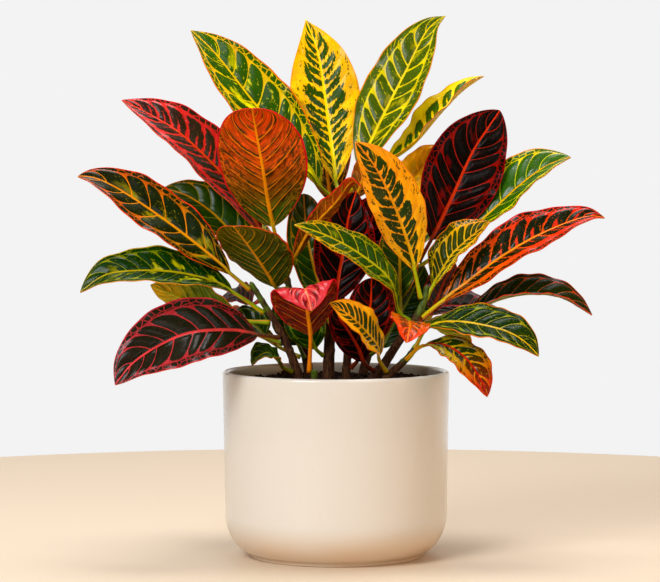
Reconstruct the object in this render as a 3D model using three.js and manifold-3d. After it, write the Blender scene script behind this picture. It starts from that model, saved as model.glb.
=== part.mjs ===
// Potted croton: a glazed pot filled with soil, eight stems and their leaves.
// Millimetres, +Z up, the front towards -Y. The origin is the centre of the pot's foot, on its underside.

import * as THREE from "three";
import { mergeVertices } from "three/addons/utils/BufferGeometryUtils.js";
import Module from "manifold-3d";

const wasm = await Module();
wasm.setup();

const GAP = 0.3;
const DEGREE = Math.PI / 180;

// The pot: a straight wall over a round lower corner, on a short flat foot.
const POT_HEIGHT = 148.5;
const POT_LIP_RADIUS = 90.9;
const POT_WAIST_RADIUS = 89.2;
const POT_WALL = 5;
const POT_FLOOR = 9;
const POT_CORNER_ACROSS = 30;
const POT_CORNER_UP = 35;
const POT_CORNER_STEPS = 6;
const FOOT_RADIUS = 69.6;
const FOOT_HEIGHT = 4.6;
const FOOT_GROOVE = 1;
const LIP_STEPS = 5;
const ROUND_STEPS = 48;

// The soil fills the pot to a little below its lip, and is slightly heaped and uneven.
const SOIL_EDGE = 139;
const SOIL_CROWN = 3;
const SOIL_UNEVEN = 0.9;
const SOIL_RINGS = 6;

// Stems stand in plain round holes in the soil.
const ROOT_FOOT = 118;
const HOLE_CLEARANCE = 1.1;
const HOLE_TOP = 150;
const STEM_SIDES = 8;
const STEM_RINGS = 9;

// Leaf stalks and blades.
const STALK_RADIUS = 1.3;
const STALK_STAND_OFF = 1.2;
const BLADE_EDGE = 0.45;
const BLADE_MIDDLE = 0.8;
const TIP_HALF_WIDTH = 0.6;
const SPINE_STEPS = 40;
const STALK_STATIONS = [0, 0.5];
const BLADE_STATIONS = [0, 0.06, 0.14, 0.24, 0.34, 0.45, 0.56, 0.67, 0.78, 0.88, 0.95, 1];
const PHASE_STEP = 1.7;
const WAVES = 2.5;
const LEAF_DEFAULTS = { broadest: 0.5, taper: 0.85, fold: 18, wave: 1.6 };

const MATERIALS = {
  glaze: { color: "#efe6da", roughness: 0.22 },
  soil: { color: "#2b1d15", roughness: 0.95 },
  bark: { color: "#6b5a3a", roughness: 0.7 },
  lime: { color: "#4e7a1c", roughness: 0.35 },
  gold: { color: "#e8b420", roughness: 0.35 },
  orange: { color: "#d9571f", roughness: 0.35 },
  scarlet: { color: "#d8421c", roughness: 0.4 },
  crimson: { color: "#a3202a", roughness: 0.35 },
  night: { color: "#2a1418", roughness: 0.3 },
  forest: { color: "#26401a", roughness: 0.3 },
  olive: { color: "#7d7a2a", roughness: 0.45 },
};

// Each stem: its radius at the soil and at its top, and its route from the soil up.
const STEMS = {
  stem_1: { radii: [4.2, 2.0],
    route: [[-30, -18, 144], [-37, -20, 166], [-47, -22, 187], [-57, -24, 203], [-68, -25, 221]] },
  stem_2: { radii: [5.2, 2.2],
    route: [[-6, 5, 144], [-5, 4, 175], [-2, 6, 220], [2, 10, 260], [6, 14, 300]] },
  stem_3: { radii: [4.0, 2.0],
    route: [[8, -18, 144], [9, -18, 166], [6, -14, 195], [3, -9, 222]] },
  stem_4: { radii: [4.6, 2.2],
    route: [[30, -20, 144], [38, -21, 155], [49, -22, 172], [62, -22, 190], [70, -20, 206],
      [72, -18, 218]] },
  stem_5: { radii: [4.0, 2.2],
    route: [[40, -35, 144], [50, -35, 155], [58, -35, 163], [64, -34, 172]] },
  stem_6: { radii: [4.2, 2.0],
    route: [[-22, 24, 144], [-30, 21, 180], [-38, 14, 215], [-44, 8, 244]] },
  stem_7: { radii: [4.2, 2.0],
    route: [[22, 28, 144], [36, 29, 185], [52, 26, 215], [66, 22, 240]] },
  stem_8: { radii: [3.2, 2.6],
    route: [[-17, -46, 144], [-17, -47, 153]] },
};

// Each leaf: the stem and height that its stalk leaves, its look, the blade's width, the way its upper face
// looks halfway along, and its midrib from the blade's start to its tip. Some have a broadest place, taper,
// fold or wave height of their own.
const LEAVES = {
  leaf_01: { stem: "stem_2", height: 284, look: "lime", width: 60, face: [0.45, -0.85, 0.3],
    fold: 22, taper: 0.95, wave: 1.1,
    route: [[-11, 8, 294], [-22, 10, 311], [-64, 22, 360], [-99, 38, 404], [-118, 47, 422]] },
  leaf_02: { stem: "stem_2", height: 291, look: "gold", width: 58, face: [0.05, -0.95, 0.3],
    fold: 10, taper: 1.1,
    route: [[0, 23, 298], [-1, 27, 309], [-6, 40, 346], [-15, 58, 405], [-25, 70, 432]] },
  leaf_03: { stem: "stem_2", height: 297, look: "lime", width: 54, face: [-0.4, -0.88, 0.25],
    taper: 1,
    route: [[18, 20, 306], [28, 27, 331], [56, 43, 387], [76, 52, 424], [89, 55, 434]] },
  leaf_04: { stem: "stem_6", height: 238, look: "scarlet", width: 72, face: [0.1, 0.85, 0.5],
    fold: 8, taper: 0.6, broadest: 0.52, wave: 0.8,
    route: [[-50, -5, 264], [-54, -12, 284], [-58, -26, 312], [-62, -39, 336], [-64, -50, 349],
      [-65, -60, 357]] },
  leaf_05: { stem: "stem_2", height: 290, look: "gold", width: 41, face: [-0.62, -0.35, 0.7],
    fold: 28,
    route: [[39, 22, 313], [62, 28, 329], [87, 36, 357], [103, 42, 373], [120, 50, 385]] },
  leaf_06: { stem: "stem_7", height: 222, look: "gold", width: 34, face: [-0.2, -0.9, 0.4],
    route: [[50, 40, 280], [63, 48, 300], [76, 54, 316], [91, 60, 327]] },
  leaf_07: { stem: "stem_6", height: 214, look: "olive", width: 60, face: [0.22, 0.54, 0.82],
    fold: 10, taper: 0.62, broadest: 0.54, wave: 0.8,
    route: [[-48, -15, 216], [-54, -27, 227], [-61, -40, 239], [-68, -53, 250], [-74, -65, 259],
      [-79, -76, 266]] },
  leaf_08: { stem: "stem_7", height: 236, look: "night", width: 64, face: [0.08, -0.96, 0.25],
    fold: 12, taper: 0.75, wave: 0.9,
    route: [[77, 20, 253], [93, 28, 285], [111, 34, 324], [122, 37, 341], [133, 40, 357]] },
  leaf_09: { stem: "stem_4", height: 206, look: "gold", width: 48, face: [0.35, -0.9, 0.2],
    fold: 14, wave: 1.1,
    route: [[62, -27, 230], [57, -32, 249], [46, -44, 280], [30, -55, 312], [15, -60, 331]] },
  leaf_10: { stem: "stem_7", height: 230, look: "lime", width: 60, face: [-0.45, -0.55, 0.7],
    fold: 22,
    route: [[92, 20, 248], [122, 22, 272], [148, 22, 296], [170, 21, 312], [189, 20, 319]] },
  leaf_11: { stem: "stem_4", height: 208, look: "lime", width: 40, face: [-0.6, -0.65, 0.45],
    fold: 28,
    route: [[77, -8, 216], [84, -9, 227], [93, -11, 242], [103, -14, 252], [122, -20, 268]] },
  leaf_12: { stem: "stem_4", height: 194, look: "orange", width: 50, face: [-0.2, -0.6, 0.78],
    route: [[83, -17, 204], [98, -18, 215], [128, -20, 238], [162, -18, 258], [200, -16, 272],
      [213, -15, 271]] },
  leaf_13: { stem: "stem_4", height: 184, look: "forest", width: 44, face: [0, -0.33, 0.94],
    fold: 25, wave: 0.5,
    route: [[104, -10, 194], [130, -13, 206], [154, -16, 210.5], [178, -18, 208], [203, -20, 194]] },
  leaf_14: { stem: "stem_5", height: 168, look: "lime", width: 46, face: [0.1, -0.55, 0.83],
    fold: 12, wave: 1,
    route: [[72, -38, 185], [92, -46, 190], [115, -55, 188], [134, -62, 183], [146, -66, 176],
      [157, -70, 165]] },
  leaf_15: { stem: "stem_5", height: 160, look: "gold", width: 36, face: [0.3, -0.6, 0.74],
    fold: 10, wave: 1.1,
    route: [[67, -45, 171], [84, -52, 172], [99, -61, 164], [110, -70, 150], [117, -76, 134]] },
  leaf_16: { stem: "stem_6", height: 242, look: "crimson", width: 55, face: [0.42, -0.71, 0.57],
    route: [[-60, 10, 259], [-84, 17, 296], [-99, 20, 313], [-127, 25, 339], [-146, 27, 351],
      [-173, 30, 365]] },
  leaf_17: { stem: "stem_1", height: 216, look: "forest", width: 50, face: [0.3, -0.72, 0.63],
    fold: 14,
    route: [[-83, -27, 227], [-112, -32, 252], [-142, -37, 275], [-174, -42, 296], [-190, -44, 303],
      [-202, -45, 304]] },
  leaf_18: { stem: "stem_6", height: 226, look: "forest", width: 46, face: [0.3, -0.75, 0.6],
    route: [[-70, 2, 240], [-82, 4, 256], [-99, 8, 274], [-120, 12, 288], [-139, 15, 294]] },
  leaf_19: { stem: "stem_1", height: 198, look: "lime", width: 44, face: [0.1, -0.62, 0.77],
    wave: 1.2,
    route: [[-80, -32, 212], [-94, -36, 220], [-127, -46, 229], [-164, -55, 230], [-180, -58, 227],
      [-199, -60, 214]] },
  leaf_20: { stem: "stem_1", height: 190, look: "olive", width: 42, face: [0.1, 0.75, 0.65],
    fold: 10,
    route: [[-76, -18, 190], [-100, -16, 198], [-122, -16, 207], [-147, -20, 218]] },
  leaf_21: { stem: "stem_1", height: 178, look: "night", width: 58, face: [0.05, -0.86, 0.5],
    fold: 12, broadest: 0.46, wave: 1,
    route: [[-62, -42, 180], [-82, -53, 184], [-112, -65, 183], [-130, -72, 177], [-156, -81, 161],
      [-170, -86, 144]] },
  leaf_22: { stem: "stem_6", height: 232, look: "olive", width: 20, face: [-0.45, 0.7, 0.55],
    fold: 14,
    route: [[-33, -26, 240], [-21, -33, 261], [0, -38, 284], [13, -40, 300], [20, -46, 296]] },
  leaf_23: { stem: "stem_4", height: 188, look: "lime", width: 33, face: [0.25, -0.7, 0.66],
    fold: 12,
    route: [[50, -32, 197], [42, -40, 222], [19, -52, 243], [-7, -64, 258], [-32, -75, 267]] },
  leaf_24: { stem: "stem_3", height: 190, look: "night", width: 50, face: [0.05, -0.97, 0.2],
    fold: 14, wave: 1,
    route: [[0, -22, 203], [2, -20, 224], [6, -15, 245], [10, -11, 272], [16, -9, 292]] },
  leaf_25: { stem: "stem_3", height: 218, look: "night", width: 42, face: [-0.1, -0.95, 0.25],
    route: [[12, 0, 236], [20, 4, 252], [29, 8, 270], [37, 12, 290]] },
  leaf_26: { stem: "stem_4", height: 180, look: "forest", width: 34, face: [-0.2, -0.95, 0.2],
    route: [[51, -16, 206], [51, -16, 220], [49, -15, 253], [42, -12, 273]] },
  leaf_27: { stem: "stem_2", height: 276, look: "olive", width: 24, face: [0.3, 0.85, 0.4],
    route: [[16, 8, 287], [21, 4, 300], [27, 0, 314], [32, -4, 325]] },
  leaf_28: { stem: "stem_8", height: 150, look: "scarlet", width: 54, face: [-0.15, 0.8, 0.5],
    fold: 8, taper: 0.78, wave: 0.8,
    route: [[-20, -50, 180], [-22, -60, 197], [-24, -73, 213], [-24, -86, 218], [-21, -96, 211],
      [-19, -101, 202]] },
  leaf_29: { stem: "stem_4", height: 148, look: "night", width: 28, face: [-0.2, -0.85, 0.4],
    route: [[22, -34, 158], [17, -40, 170], [9, -44, 184], [2, -45, 195], [1, -47, 205]] },
  leaf_30: { stem: "stem_5", height: 148, look: "gold", width: 34, face: [0.3, -0.75, 0.6],
    route: [[34, -46, 160], [32, -54, 171], [20, -68, 187], [10, -77, 197], [-5, -85, 207]] },
  leaf_31: { stem: "stem_4", height: 178, look: "orange", width: 32, face: [0.3, -0.1, 0.93],
    fold: 8,
    route: [[53, -32, 186], [56, -50, 191], [57, -68, 190], [56, -82, 185], [54, -91, 177]] },
  leaf_32: { stem: "stem_1", height: 150, look: "forest", width: 24, face: [0, -0.5, 0.86],
    route: [[-42, -27, 153], [-47, -33, 160], [-54, -38, 165], [-61, -42, 162], [-66, -44, 156]] },
  leaf_33: { stem: "stem_4", height: 190, look: "night", width: 28, face: [-0.3, -0.9, 0.3],
    route: [[76, -6, 196], [82, -2, 208], [88, 2, 222], [96, 4, 234]] },
  leaf_34: { stem: "stem_1", height: 206, look: "crimson", width: 26, face: [0, -0.7, 0.7],
    route: [[-68, -2, 202], [-74, 8, 206], [-84, 20, 207], [-96, 30, 200]] },
  leaf_35: { stem: "stem_1", height: 172, look: "forest", width: 34, face: [0, -0.6, 0.8],
    route: [[-56, -8, 176], [-66, 4, 184], [-78, 14, 188], [-92, 22, 186]] },

  // The back and the sides, which the front hides.
  leaf_36: { stem: "stem_6", height: 218, look: "lime", width: 52, face: [0.4, -0.35, 0.85],
    route: [[-52, 34, 232], [-70, 52, 252], [-92, 74, 268], [-114, 94, 274], [-130, 108, 268]] },
  leaf_37: { stem: "stem_2", height: 262, look: "orange", width: 48, face: [0.1, -0.75, 0.6],
    route: [[-4, 38, 282], [-8, 58, 310], [-13, 82, 344], [-17, 98, 366], [-19, 110, 382]] },
  leaf_38: { stem: "stem_7", height: 228, look: "lime", width: 52, face: [-0.4, -0.5, 0.77],
    route: [[66, 40, 244], [82, 58, 266], [100, 78, 286], [118, 96, 296], [134, 110, 294]] },
  leaf_39: { stem: "stem_6", height: 176, look: "crimson", width: 52, face: [0, 0.2, 0.98],
    route: [[-38, 44, 178], [-52, 66, 185], [-68, 92, 183], [-82, 116, 173], [-92, 134, 157]] },
  leaf_40: { stem: "stem_7", height: 192, look: "forest", width: 46, face: [-0.1, 0.2, 0.97],
    route: [[46, 48, 196], [54, 70, 204], [62, 94, 202], [70, 118, 192], [76, 136, 176]] },
  leaf_41: { stem: "stem_2", height: 228, look: "night", width: 54, face: [0, -0.2, 0.98],
    route: [[2, 26, 236], [6, 52, 248], [10, 82, 252], [12, 112, 242], [12, 138, 222]] },
  leaf_42: { stem: "stem_7", height: 172, look: "gold", width: 42, face: [0.2, 0.2, 0.95],
    route: [[46, 44, 176], [64, 58, 181], [84, 72, 177], [100, 84, 167], [111, 92, 154]] },
  leaf_43: { stem: "stem_6", height: 158, look: "lime", width: 44, face: [-0.2, 0.1, 0.97],
    route: [[-44, 30, 164], [-64, 38, 174], [-88, 46, 176], [-112, 52, 168], [-128, 56, 154]] },
  leaf_44: { stem: "stem_2", height: 192, look: "orange", width: 48, face: [-0.1, 0.2, 0.97],
    route: [[-4, 28, 194], [-8, 52, 200], [-14, 80, 196], [-18, 104, 182], [-20, 122, 162]] },
  leaf_45: { stem: "stem_7", height: 198, look: "crimson", width: 46, face: [-0.05, -0.5, 0.86],
    fold: 10,
    route: [[66, 30, 192], [88, 44, 197], [112, 58, 196], [133, 72, 190], [148, 84, 181]] },

  // Among the stems.
  leaf_46: { stem: "stem_6", height: 158, look: "forest", width: 30, face: [-0.2, -0.93, 0.3],
    taper: 0.7,
    route: [[-30, 10, 168], [-34, 5, 180], [-39, 0, 196], [-43, -3, 211]] },
  leaf_47: { stem: "stem_2", height: 160, look: "forest", width: 34, face: [-0.1, -0.95, 0.25],
    route: [[-16, -4, 166], [-21, -8, 178], [-28, -9, 194], [-34, -8, 210]] },
  leaf_48: { stem: "stem_3", height: 152, look: "night", width: 40, face: [0.15, -0.95, 0.25],
    taper: 0.6, broadest: 0.6,
    route: [[18, -26, 160], [23, -29, 180], [27, -30, 202], [28, -30, 224]] },
  leaf_49: { stem: "stem_7", height: 160, look: "forest", width: 42, face: [0.1, -0.92, 0.35],
    route: [[36, 13, 166], [45, 13, 182], [59, 12, 206], [71, 11, 232]] },
  leaf_50: { stem: "stem_3", height: 168, look: "forest", width: 38, face: [0.2, -0.95, 0.2],
    taper: 0.55, broadest: 0.6,
    route: [[-4, -16, 186], [-10, -13, 207], [-18, -5, 232], [-24, 2, 262], [-26, 5, 290]] },
};

function vector(point) {
  return new THREE.Vector3(...point);
}

// A closed body from rings of points that run the same way round. The diagonal of each strip named in
// `turned` runs the other way, which splits the two faces of a blade alike.
function loft(rings, turned = []) {
  const sides = rings[0].length;
  const positions = rings.flat().flatMap((point) => point.toArray());
  const index = [];
  for (let ring = 0; ring + 1 < rings.length; ring += 1) {
    for (let side = 0; side < sides; side += 1) {
      const a = ring * sides + side;
      const b = ring * sides + ((side + 1) % sides);
      const c = b + sides;
      const d = a + sides;
      if (turned.includes(side)) {
        index.push(a, b, d, b, c, d);
      } else {
        index.push(a, b, c, a, c, d);
      }
    }
  }
  const last = (rings.length - 1) * sides;
  for (let side = 1; side + 1 < sides; side += 1) {
    index.push(0, side + 1, side);
    index.push(last, last + side, last + side + 1);
  }
  const geometry = new THREE.BufferGeometry();
  geometry.setAttribute("position", new THREE.Float32BufferAttribute(positions, 3));
  geometry.setIndex(index);
  return geometry;
}

// A smooth line through points, measured along its length.
function spineThrough(points) {
  const curve = new THREE.CatmullRomCurve3(points);
  const count = SPINE_STEPS * (points.length - 1);
  const samples = curve.getPoints(count);
  const lengths = [0];
  for (let i = 1; i <= count; i += 1) {
    lengths.push(lengths[i - 1] + samples[i].distanceTo(samples[i - 1]));
  }
  const at = (length) => {
    let i = 1;
    while (i < count && lengths[i] < length) {
      i += 1;
    }
    const share = (length - lengths[i - 1]) / (lengths[i] - lengths[i - 1]);
    const point = samples[i - 1].clone().lerp(samples[i], share);
    const before = samples[Math.max(i - 2, 0)];
    const after = samples[Math.min(i + 1, count)];
    return { point, along: after.clone().sub(before).normalize() };
  };
  return { at, firstSpan: lengths[SPINE_STEPS], total: lengths[count] };
}

// The part of a direction that is square to another, as a unit vector.
function squareTo(direction, along) {
  return direction.clone().addScaledVector(along, -direction.dot(along)).normalize();
}

function stemSpine(name) {
  const points = STEMS[name].route.map(vector);
  return spineThrough([points[0].clone().setZ(ROOT_FOOT), ...points]);
}

function stemRadius(name, share) {
  const [foot, top] = STEMS[name].radii;
  return foot + (top - foot) * share;
}

// Where a stem's axis passes a height.
function stemAt(name, height) {
  const spine = stemSpine(name);
  let length = 0;
  while (length < spine.total && spine.at(length).point.z < height) {
    length += 0.5;
  }
  return { ...spine.at(length), radius: stemRadius(name, length / spine.total) };
}

function makeStem(name) {
  const spine = stemSpine(name);
  const rings = [];
  for (let i = 0; i < STEM_RINGS; i += 1) {
    const share = i / (STEM_RINGS - 1);
    const { point, along } = spine.at(share * spine.total);
    const right = squareTo(new THREE.Vector3(1, 0, 0), along);
    const back = along.clone().cross(right);
    const ring = [];
    for (let k = 0; k < STEM_SIDES; k += 1) {
      const angle = (k / STEM_SIDES) * 2 * Math.PI;
      const radius = stemRadius(name, share);
      ring.push(
        point
          .clone()
          .addScaledVector(right, radius * Math.cos(angle))
          .addScaledVector(back, radius * Math.sin(angle)),
      );
    }
    rings.push(ring);
  }
  return loft(rings);
}

// The blade's half width along its length, as a share of its broadest.
function bladeShape(share, broadest, taper) {
  const rise = (taper * broadest) / (1 - broadest);
  const most = broadest ** rise * (1 - broadest) ** taper;
  return (share ** rise * (1 - share) ** taper) / most;
}

// A leaf is one loft of six-sided rings: a round stalk that widens into two folded, waved halves.
function makeLeaf(leaf, order) {
  const { route, width, face, broadest, taper, fold, wave } = { ...LEAF_DEFAULTS, ...leaf };
  const start = vector(route[0]);
  const carrier = stemAt(leaf.stem, leaf.height);
  const outward = squareTo(start.clone().sub(carrier.point), carrier.along);
  const foot = carrier.point.clone().addScaledVector(outward, carrier.radius + GAP + STALK_STAND_OFF);
  const spine = spineThrough([foot, ...route.map(vector)]);
  const bladeLength = spine.total - spine.firstSpan;
  const middle = spine.at(spine.firstSpan + bladeLength / 2).along;
  const across = middle.clone().cross(vector(face)).normalize();
  const stations = [
    ...STALK_STATIONS.map((share) => ({ length: share * spine.firstSpan, blade: 0 })),
    ...BLADE_STATIONS.map((share) => ({ length: spine.firstSpan + share * bladeLength, blade: share })),
  ];
  const rings = stations.map(({ length, blade }) => {
    const { point, along } = spine.at(length);
    const right = squareTo(across, along);
    const upper = right.clone().cross(along);
    const half = (width / 2) * bladeShape(blade, broadest, taper);
    const inBlade = half > STALK_RADIUS || blade > broadest;
    const reach = inBlade ? Math.max(half, TIP_HALF_WIDTH) : STALK_RADIUS;
    const edge = inBlade ? BLADE_EDGE : STALK_RADIUS / 2;
    const core = inBlade ? BLADE_MIDDLE : STALK_RADIUS;
    const rise = inBlade ? half * Math.sin(fold * DEGREE) : 0;
    const level = inBlade ? reach * Math.cos(fold * DEGREE) : reach;
    const lift = (side) => {
      const phase = 2 * Math.PI * WAVES * blade + order * PHASE_STEP + side;
      return rise + wave * Math.sin(Math.PI * blade) * Math.sin(phase);
    };
    const place = (side, height) =>
      point.clone().addScaledVector(right, side * level).addScaledVector(upper, height);
    return [
      place(-1, lift(-1) + edge),
      place(0, core),
      place(1, lift(1) + edge),
      place(1, lift(1) - edge),
      place(0, -core),
      place(-1, lift(-1) - edge),
    ];
  });
  return loft(rings, [1, 4]);
}

// Points on a quarter of an ellipse, or on the lower part of it that `sweep` gives.
// They run from its end up to its side.
function cornerArc(across, up, sweep) {
  const middle = POT_WAIST_RADIUS - POT_CORNER_ACROSS;
  const points = [];
  for (let i = 0; i <= POT_CORNER_STEPS; i += 1) {
    const angle = sweep * (1 - i / POT_CORNER_STEPS);
    points.push(new THREE.Vector2(middle + across * Math.cos(angle), POT_CORNER_UP - up * Math.sin(angle)));
  }
  return points;
}

function makePot() {
  const lip = [];
  for (let i = 0; i <= LIP_STEPS; i += 1) {
    const angle = (Math.PI * i) / LIP_STEPS;
    const radius = POT_LIP_RADIUS - (POT_WALL / 2) * (1 - Math.cos(angle));
    lip.push(new THREE.Vector2(radius, POT_HEIGHT - (POT_WALL / 2) * (1 - Math.sin(angle))));
  }
  const outside = cornerArc(POT_CORNER_ACROSS, POT_CORNER_UP, Math.asin(1 - FOOT_HEIGHT / POT_CORNER_UP));
  const inside = cornerArc(POT_CORNER_ACROSS - POT_WALL, POT_CORNER_UP - POT_FLOOR, Math.PI / 2);
  const profile = [
    new THREE.Vector2(0, 0),
    new THREE.Vector2(FOOT_RADIUS, 0),
    new THREE.Vector2(FOOT_RADIUS, FOOT_HEIGHT - FOOT_GROOVE),
    ...outside,
    ...lip,
    ...inside.reverse(),
    new THREE.Vector2(0, POT_FLOOR),
  ];
  return new THREE.LatheGeometry(profile, ROUND_STEPS).rotateX(Math.PI / 2);
}

// Low humps a few centimetres apart.
function unevenness(x, y) {
  return SOIL_UNEVEN * (Math.sin(x / 7) * Math.cos(y / 9) + Math.sin((x + y) / 13));
}

// A geometry as a solid that booleans can take: shared vertices are merged and flat triangles dropped.
function asSolid(geometry) {
  const bare = geometry.clone();
  bare.deleteAttribute("normal");
  bare.deleteAttribute("uv");
  const merged = mergeVertices(bare, 1e-3);
  const triangles = [];
  for (let i = 0; i < merged.index.count; i += 3) {
    const corners = [merged.index.getX(i), merged.index.getX(i + 1), merged.index.getX(i + 2)];
    if (new Set(corners).size === 3) {
      triangles.push(...corners);
    }
  }
  return new wasm.Manifold(
    new wasm.Mesh({
      numProp: 3,
      vertProperties: merged.attributes.position.array,
      triVerts: new Uint32Array(triangles),
    }),
  );
}

function asGeometry(solid) {
  const { vertProperties, triVerts } = solid.getMesh();
  const geometry = new THREE.BufferGeometry();
  geometry.setAttribute("position", new THREE.BufferAttribute(vertProperties, 3));
  geometry.setIndex(new THREE.BufferAttribute(triVerts, 1));
  return geometry;
}

function makeSoil() {
  const wallRadius = POT_WAIST_RADIUS - POT_WALL - GAP;
  const profile = [
    new THREE.Vector2(0, POT_FLOOR + GAP),
    ...cornerArc(POT_CORNER_ACROSS - POT_WALL - GAP, POT_CORNER_UP - POT_FLOOR - GAP, Math.PI / 2),
  ];
  for (let i = 0; i <= SOIL_RINGS; i += 1) {
    const share = i / SOIL_RINGS;
    const height = SOIL_EDGE + SOIL_CROWN * Math.sin((share * Math.PI) / 2);
    profile.push(new THREE.Vector2(wallRadius * (1 - share), height));
  }
  const body = new THREE.LatheGeometry(profile, ROUND_STEPS).rotateX(Math.PI / 2);
  const place = body.attributes.position;
  for (let i = 0; i < place.count; i += 1) {
    const x = place.getX(i);
    const y = place.getY(i);
    if (place.getZ(i) > SOIL_EDGE - 1) {
      place.setZ(i, place.getZ(i) + unevenness(x, y));
    }
  }
  let soil = asSolid(body);
  for (const { radii, route } of Object.values(STEMS)) {
    const [x, y] = route[0];
    const radius = radii[0] + HOLE_CLEARANCE;
    const bottom = ROOT_FOOT - GAP;
    const hole = new THREE.CylinderGeometry(radius, radius, HOLE_TOP - bottom, 2 * STEM_SIDES)
      .rotateX(Math.PI / 2)
      .translate(x, y, (HOLE_TOP + bottom) / 2);
    soil = soil.subtract(asSolid(hole));
  }
  return asGeometry(soil);
}

const croton = new THREE.Group();

function add(name, geometry, finish) {
  const material = new THREE.MeshStandardMaterial({ ...MATERIALS[finish], metalness: 0 });
  const mesh = new THREE.Mesh(geometry, material);
  mesh.name = name;
  croton.add(mesh);
}

add("pot", makePot(), "glaze");
add("soil", makeSoil(), "soil");
for (const name of Object.keys(STEMS)) {
  add(name, makeStem(name), "bark");
}
Object.entries(LEAVES).forEach(([name, leaf], order) => add(name, makeLeaf(leaf, order), leaf.look));

export default croton;
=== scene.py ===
import math
import random
from functools import partial
from typing import NamedTuple

import bmesh
import bpy
import numpy as np
from bpy.props import FloatProperty, FloatVectorProperty, IntProperty, PointerProperty
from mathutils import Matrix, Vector, noise


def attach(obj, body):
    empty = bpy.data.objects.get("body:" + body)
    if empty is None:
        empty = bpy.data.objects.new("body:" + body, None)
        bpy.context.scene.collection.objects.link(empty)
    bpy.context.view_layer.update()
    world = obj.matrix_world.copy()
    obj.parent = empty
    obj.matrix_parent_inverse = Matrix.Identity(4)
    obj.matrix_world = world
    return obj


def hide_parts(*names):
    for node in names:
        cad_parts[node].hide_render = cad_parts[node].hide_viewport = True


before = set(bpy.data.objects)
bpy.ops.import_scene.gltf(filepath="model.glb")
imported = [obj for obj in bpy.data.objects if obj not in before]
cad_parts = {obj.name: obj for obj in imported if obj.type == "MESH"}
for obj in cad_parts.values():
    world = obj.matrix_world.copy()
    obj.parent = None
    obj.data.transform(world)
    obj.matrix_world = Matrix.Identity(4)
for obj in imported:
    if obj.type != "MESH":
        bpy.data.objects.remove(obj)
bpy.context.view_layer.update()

bl_info = {
    "name": "Potted Croton",
    "version": (1, 0, 0),
    "blender": (4, 5, 0),
    "location": "View3D > Sidebar > Croton",
    "description": "Builds a croton with patterned leaves in a glazed pot",
    "category": "Object",
}

MM = 0.001
# Samples from one point of a midrib's or stem's route to the next.
SPINE_STEPS = 40
# The stems' foot in the soil and the gap between a stalk and its stem, in millimetres.
ROOT_FOOT = 118
STALK_CLEARANCE = 1.5
# Mesh of a leaf and of a stem.
STALK_ROWS = 12
BLADE_ROWS = 118
HALF_COLUMNS = 24
STEM_ROWS = 90
STEM_COLUMNS = 28
# Waves of a blade: height in millimetres, number along the blade, and turn from one leaf to the next.
WAVE_HEIGHT = 1.6
WAVES = 2.5
SMALL_WAVES = 6.3
PHASE_STEP = 1.7
# Length of a usual blade, and from one leaf scar on a stem to the next, in millimetres.
TYPICAL_LENGTH = 135.0
SCAR_SPACING = 9.0
# How far the side veins lean towards the tip, and how far ahead those of one half are, in vein spacings.
VEIN_LEAN = math.radians(48)
HALF_AHEAD = 0.42
# In metres: the round lower corner of the pot, the gap between wall and soil, the soil's height at the wall,
# and how much higher it is in the middle.
CORNER_RADIUS = 0.030
CORNER_HEIGHT = 0.035
SOIL_GAP = 0.0003
SOIL_EDGE = 0.139
SOIL_CROWN = 0.003
# Where the painted shade inside the pot fades in, in metres: inwards from the lip's inside edge, down from
# the lip, and up from below the soil's face.
PAINTED_SHADE_RADII = (0.0862, 0.0852)
PAINTED_SHADE_TOP = (0.147, 0.141)
PAINTED_SHADE_FOOT = (0.06, 0.07)
# In the photo's pixels: the camera's distance, and how far the picture's middle is left of the pot's axis and
# below the horizon.
CAMERA_PX = 2750
ASIDE_PX = 6
BELOW_PX = 136
# Each soft light: its place, size in metres, power in watts and colour.
LIGHTS = {
    "key softbox": ((-1.15, -1.7, 1.5), 1.0, 46, "#fafcff"),
    "fill softbox": ((0.8, -2.0, 0.9), 1.0, 7, "#ffffff"),
    "side softbox": ((1.8, -0.5, 0.6), 1.0, 6, "#ffc27c"),
    "top softbox": ((0.1, 0.2, 1.9), 0.9, 22, "#ffffff"),
}


class Stem(NamedTuple):
    """A stem: its radius at its foot and at its top, and its route from the soil up, in millimetres."""
    radii: tuple
    route: list


class Leaf(NamedTuple):
    """A leaf: what carries it, how it looks and how its blade is shaped, in millimetres."""
    stem: str
    height: float           # at which the stalk leaves the stem
    look: str
    slot: str
    width: float
    face: tuple             # the way the upper face looks halfway along the blade
    route: list             # the midrib, from the blade's start to its tip
    fold: float = 18        # of each half up from flat, in degrees
    taper: float = 0.85     # above 1 for a drawn-out tip, lower for a blunt one
    broadest: float = 0.5   # where along the blade
    wave: float = WAVE_HEIGHT
    veins: float = 1.0      # side veins, as a share of the usual number


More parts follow.
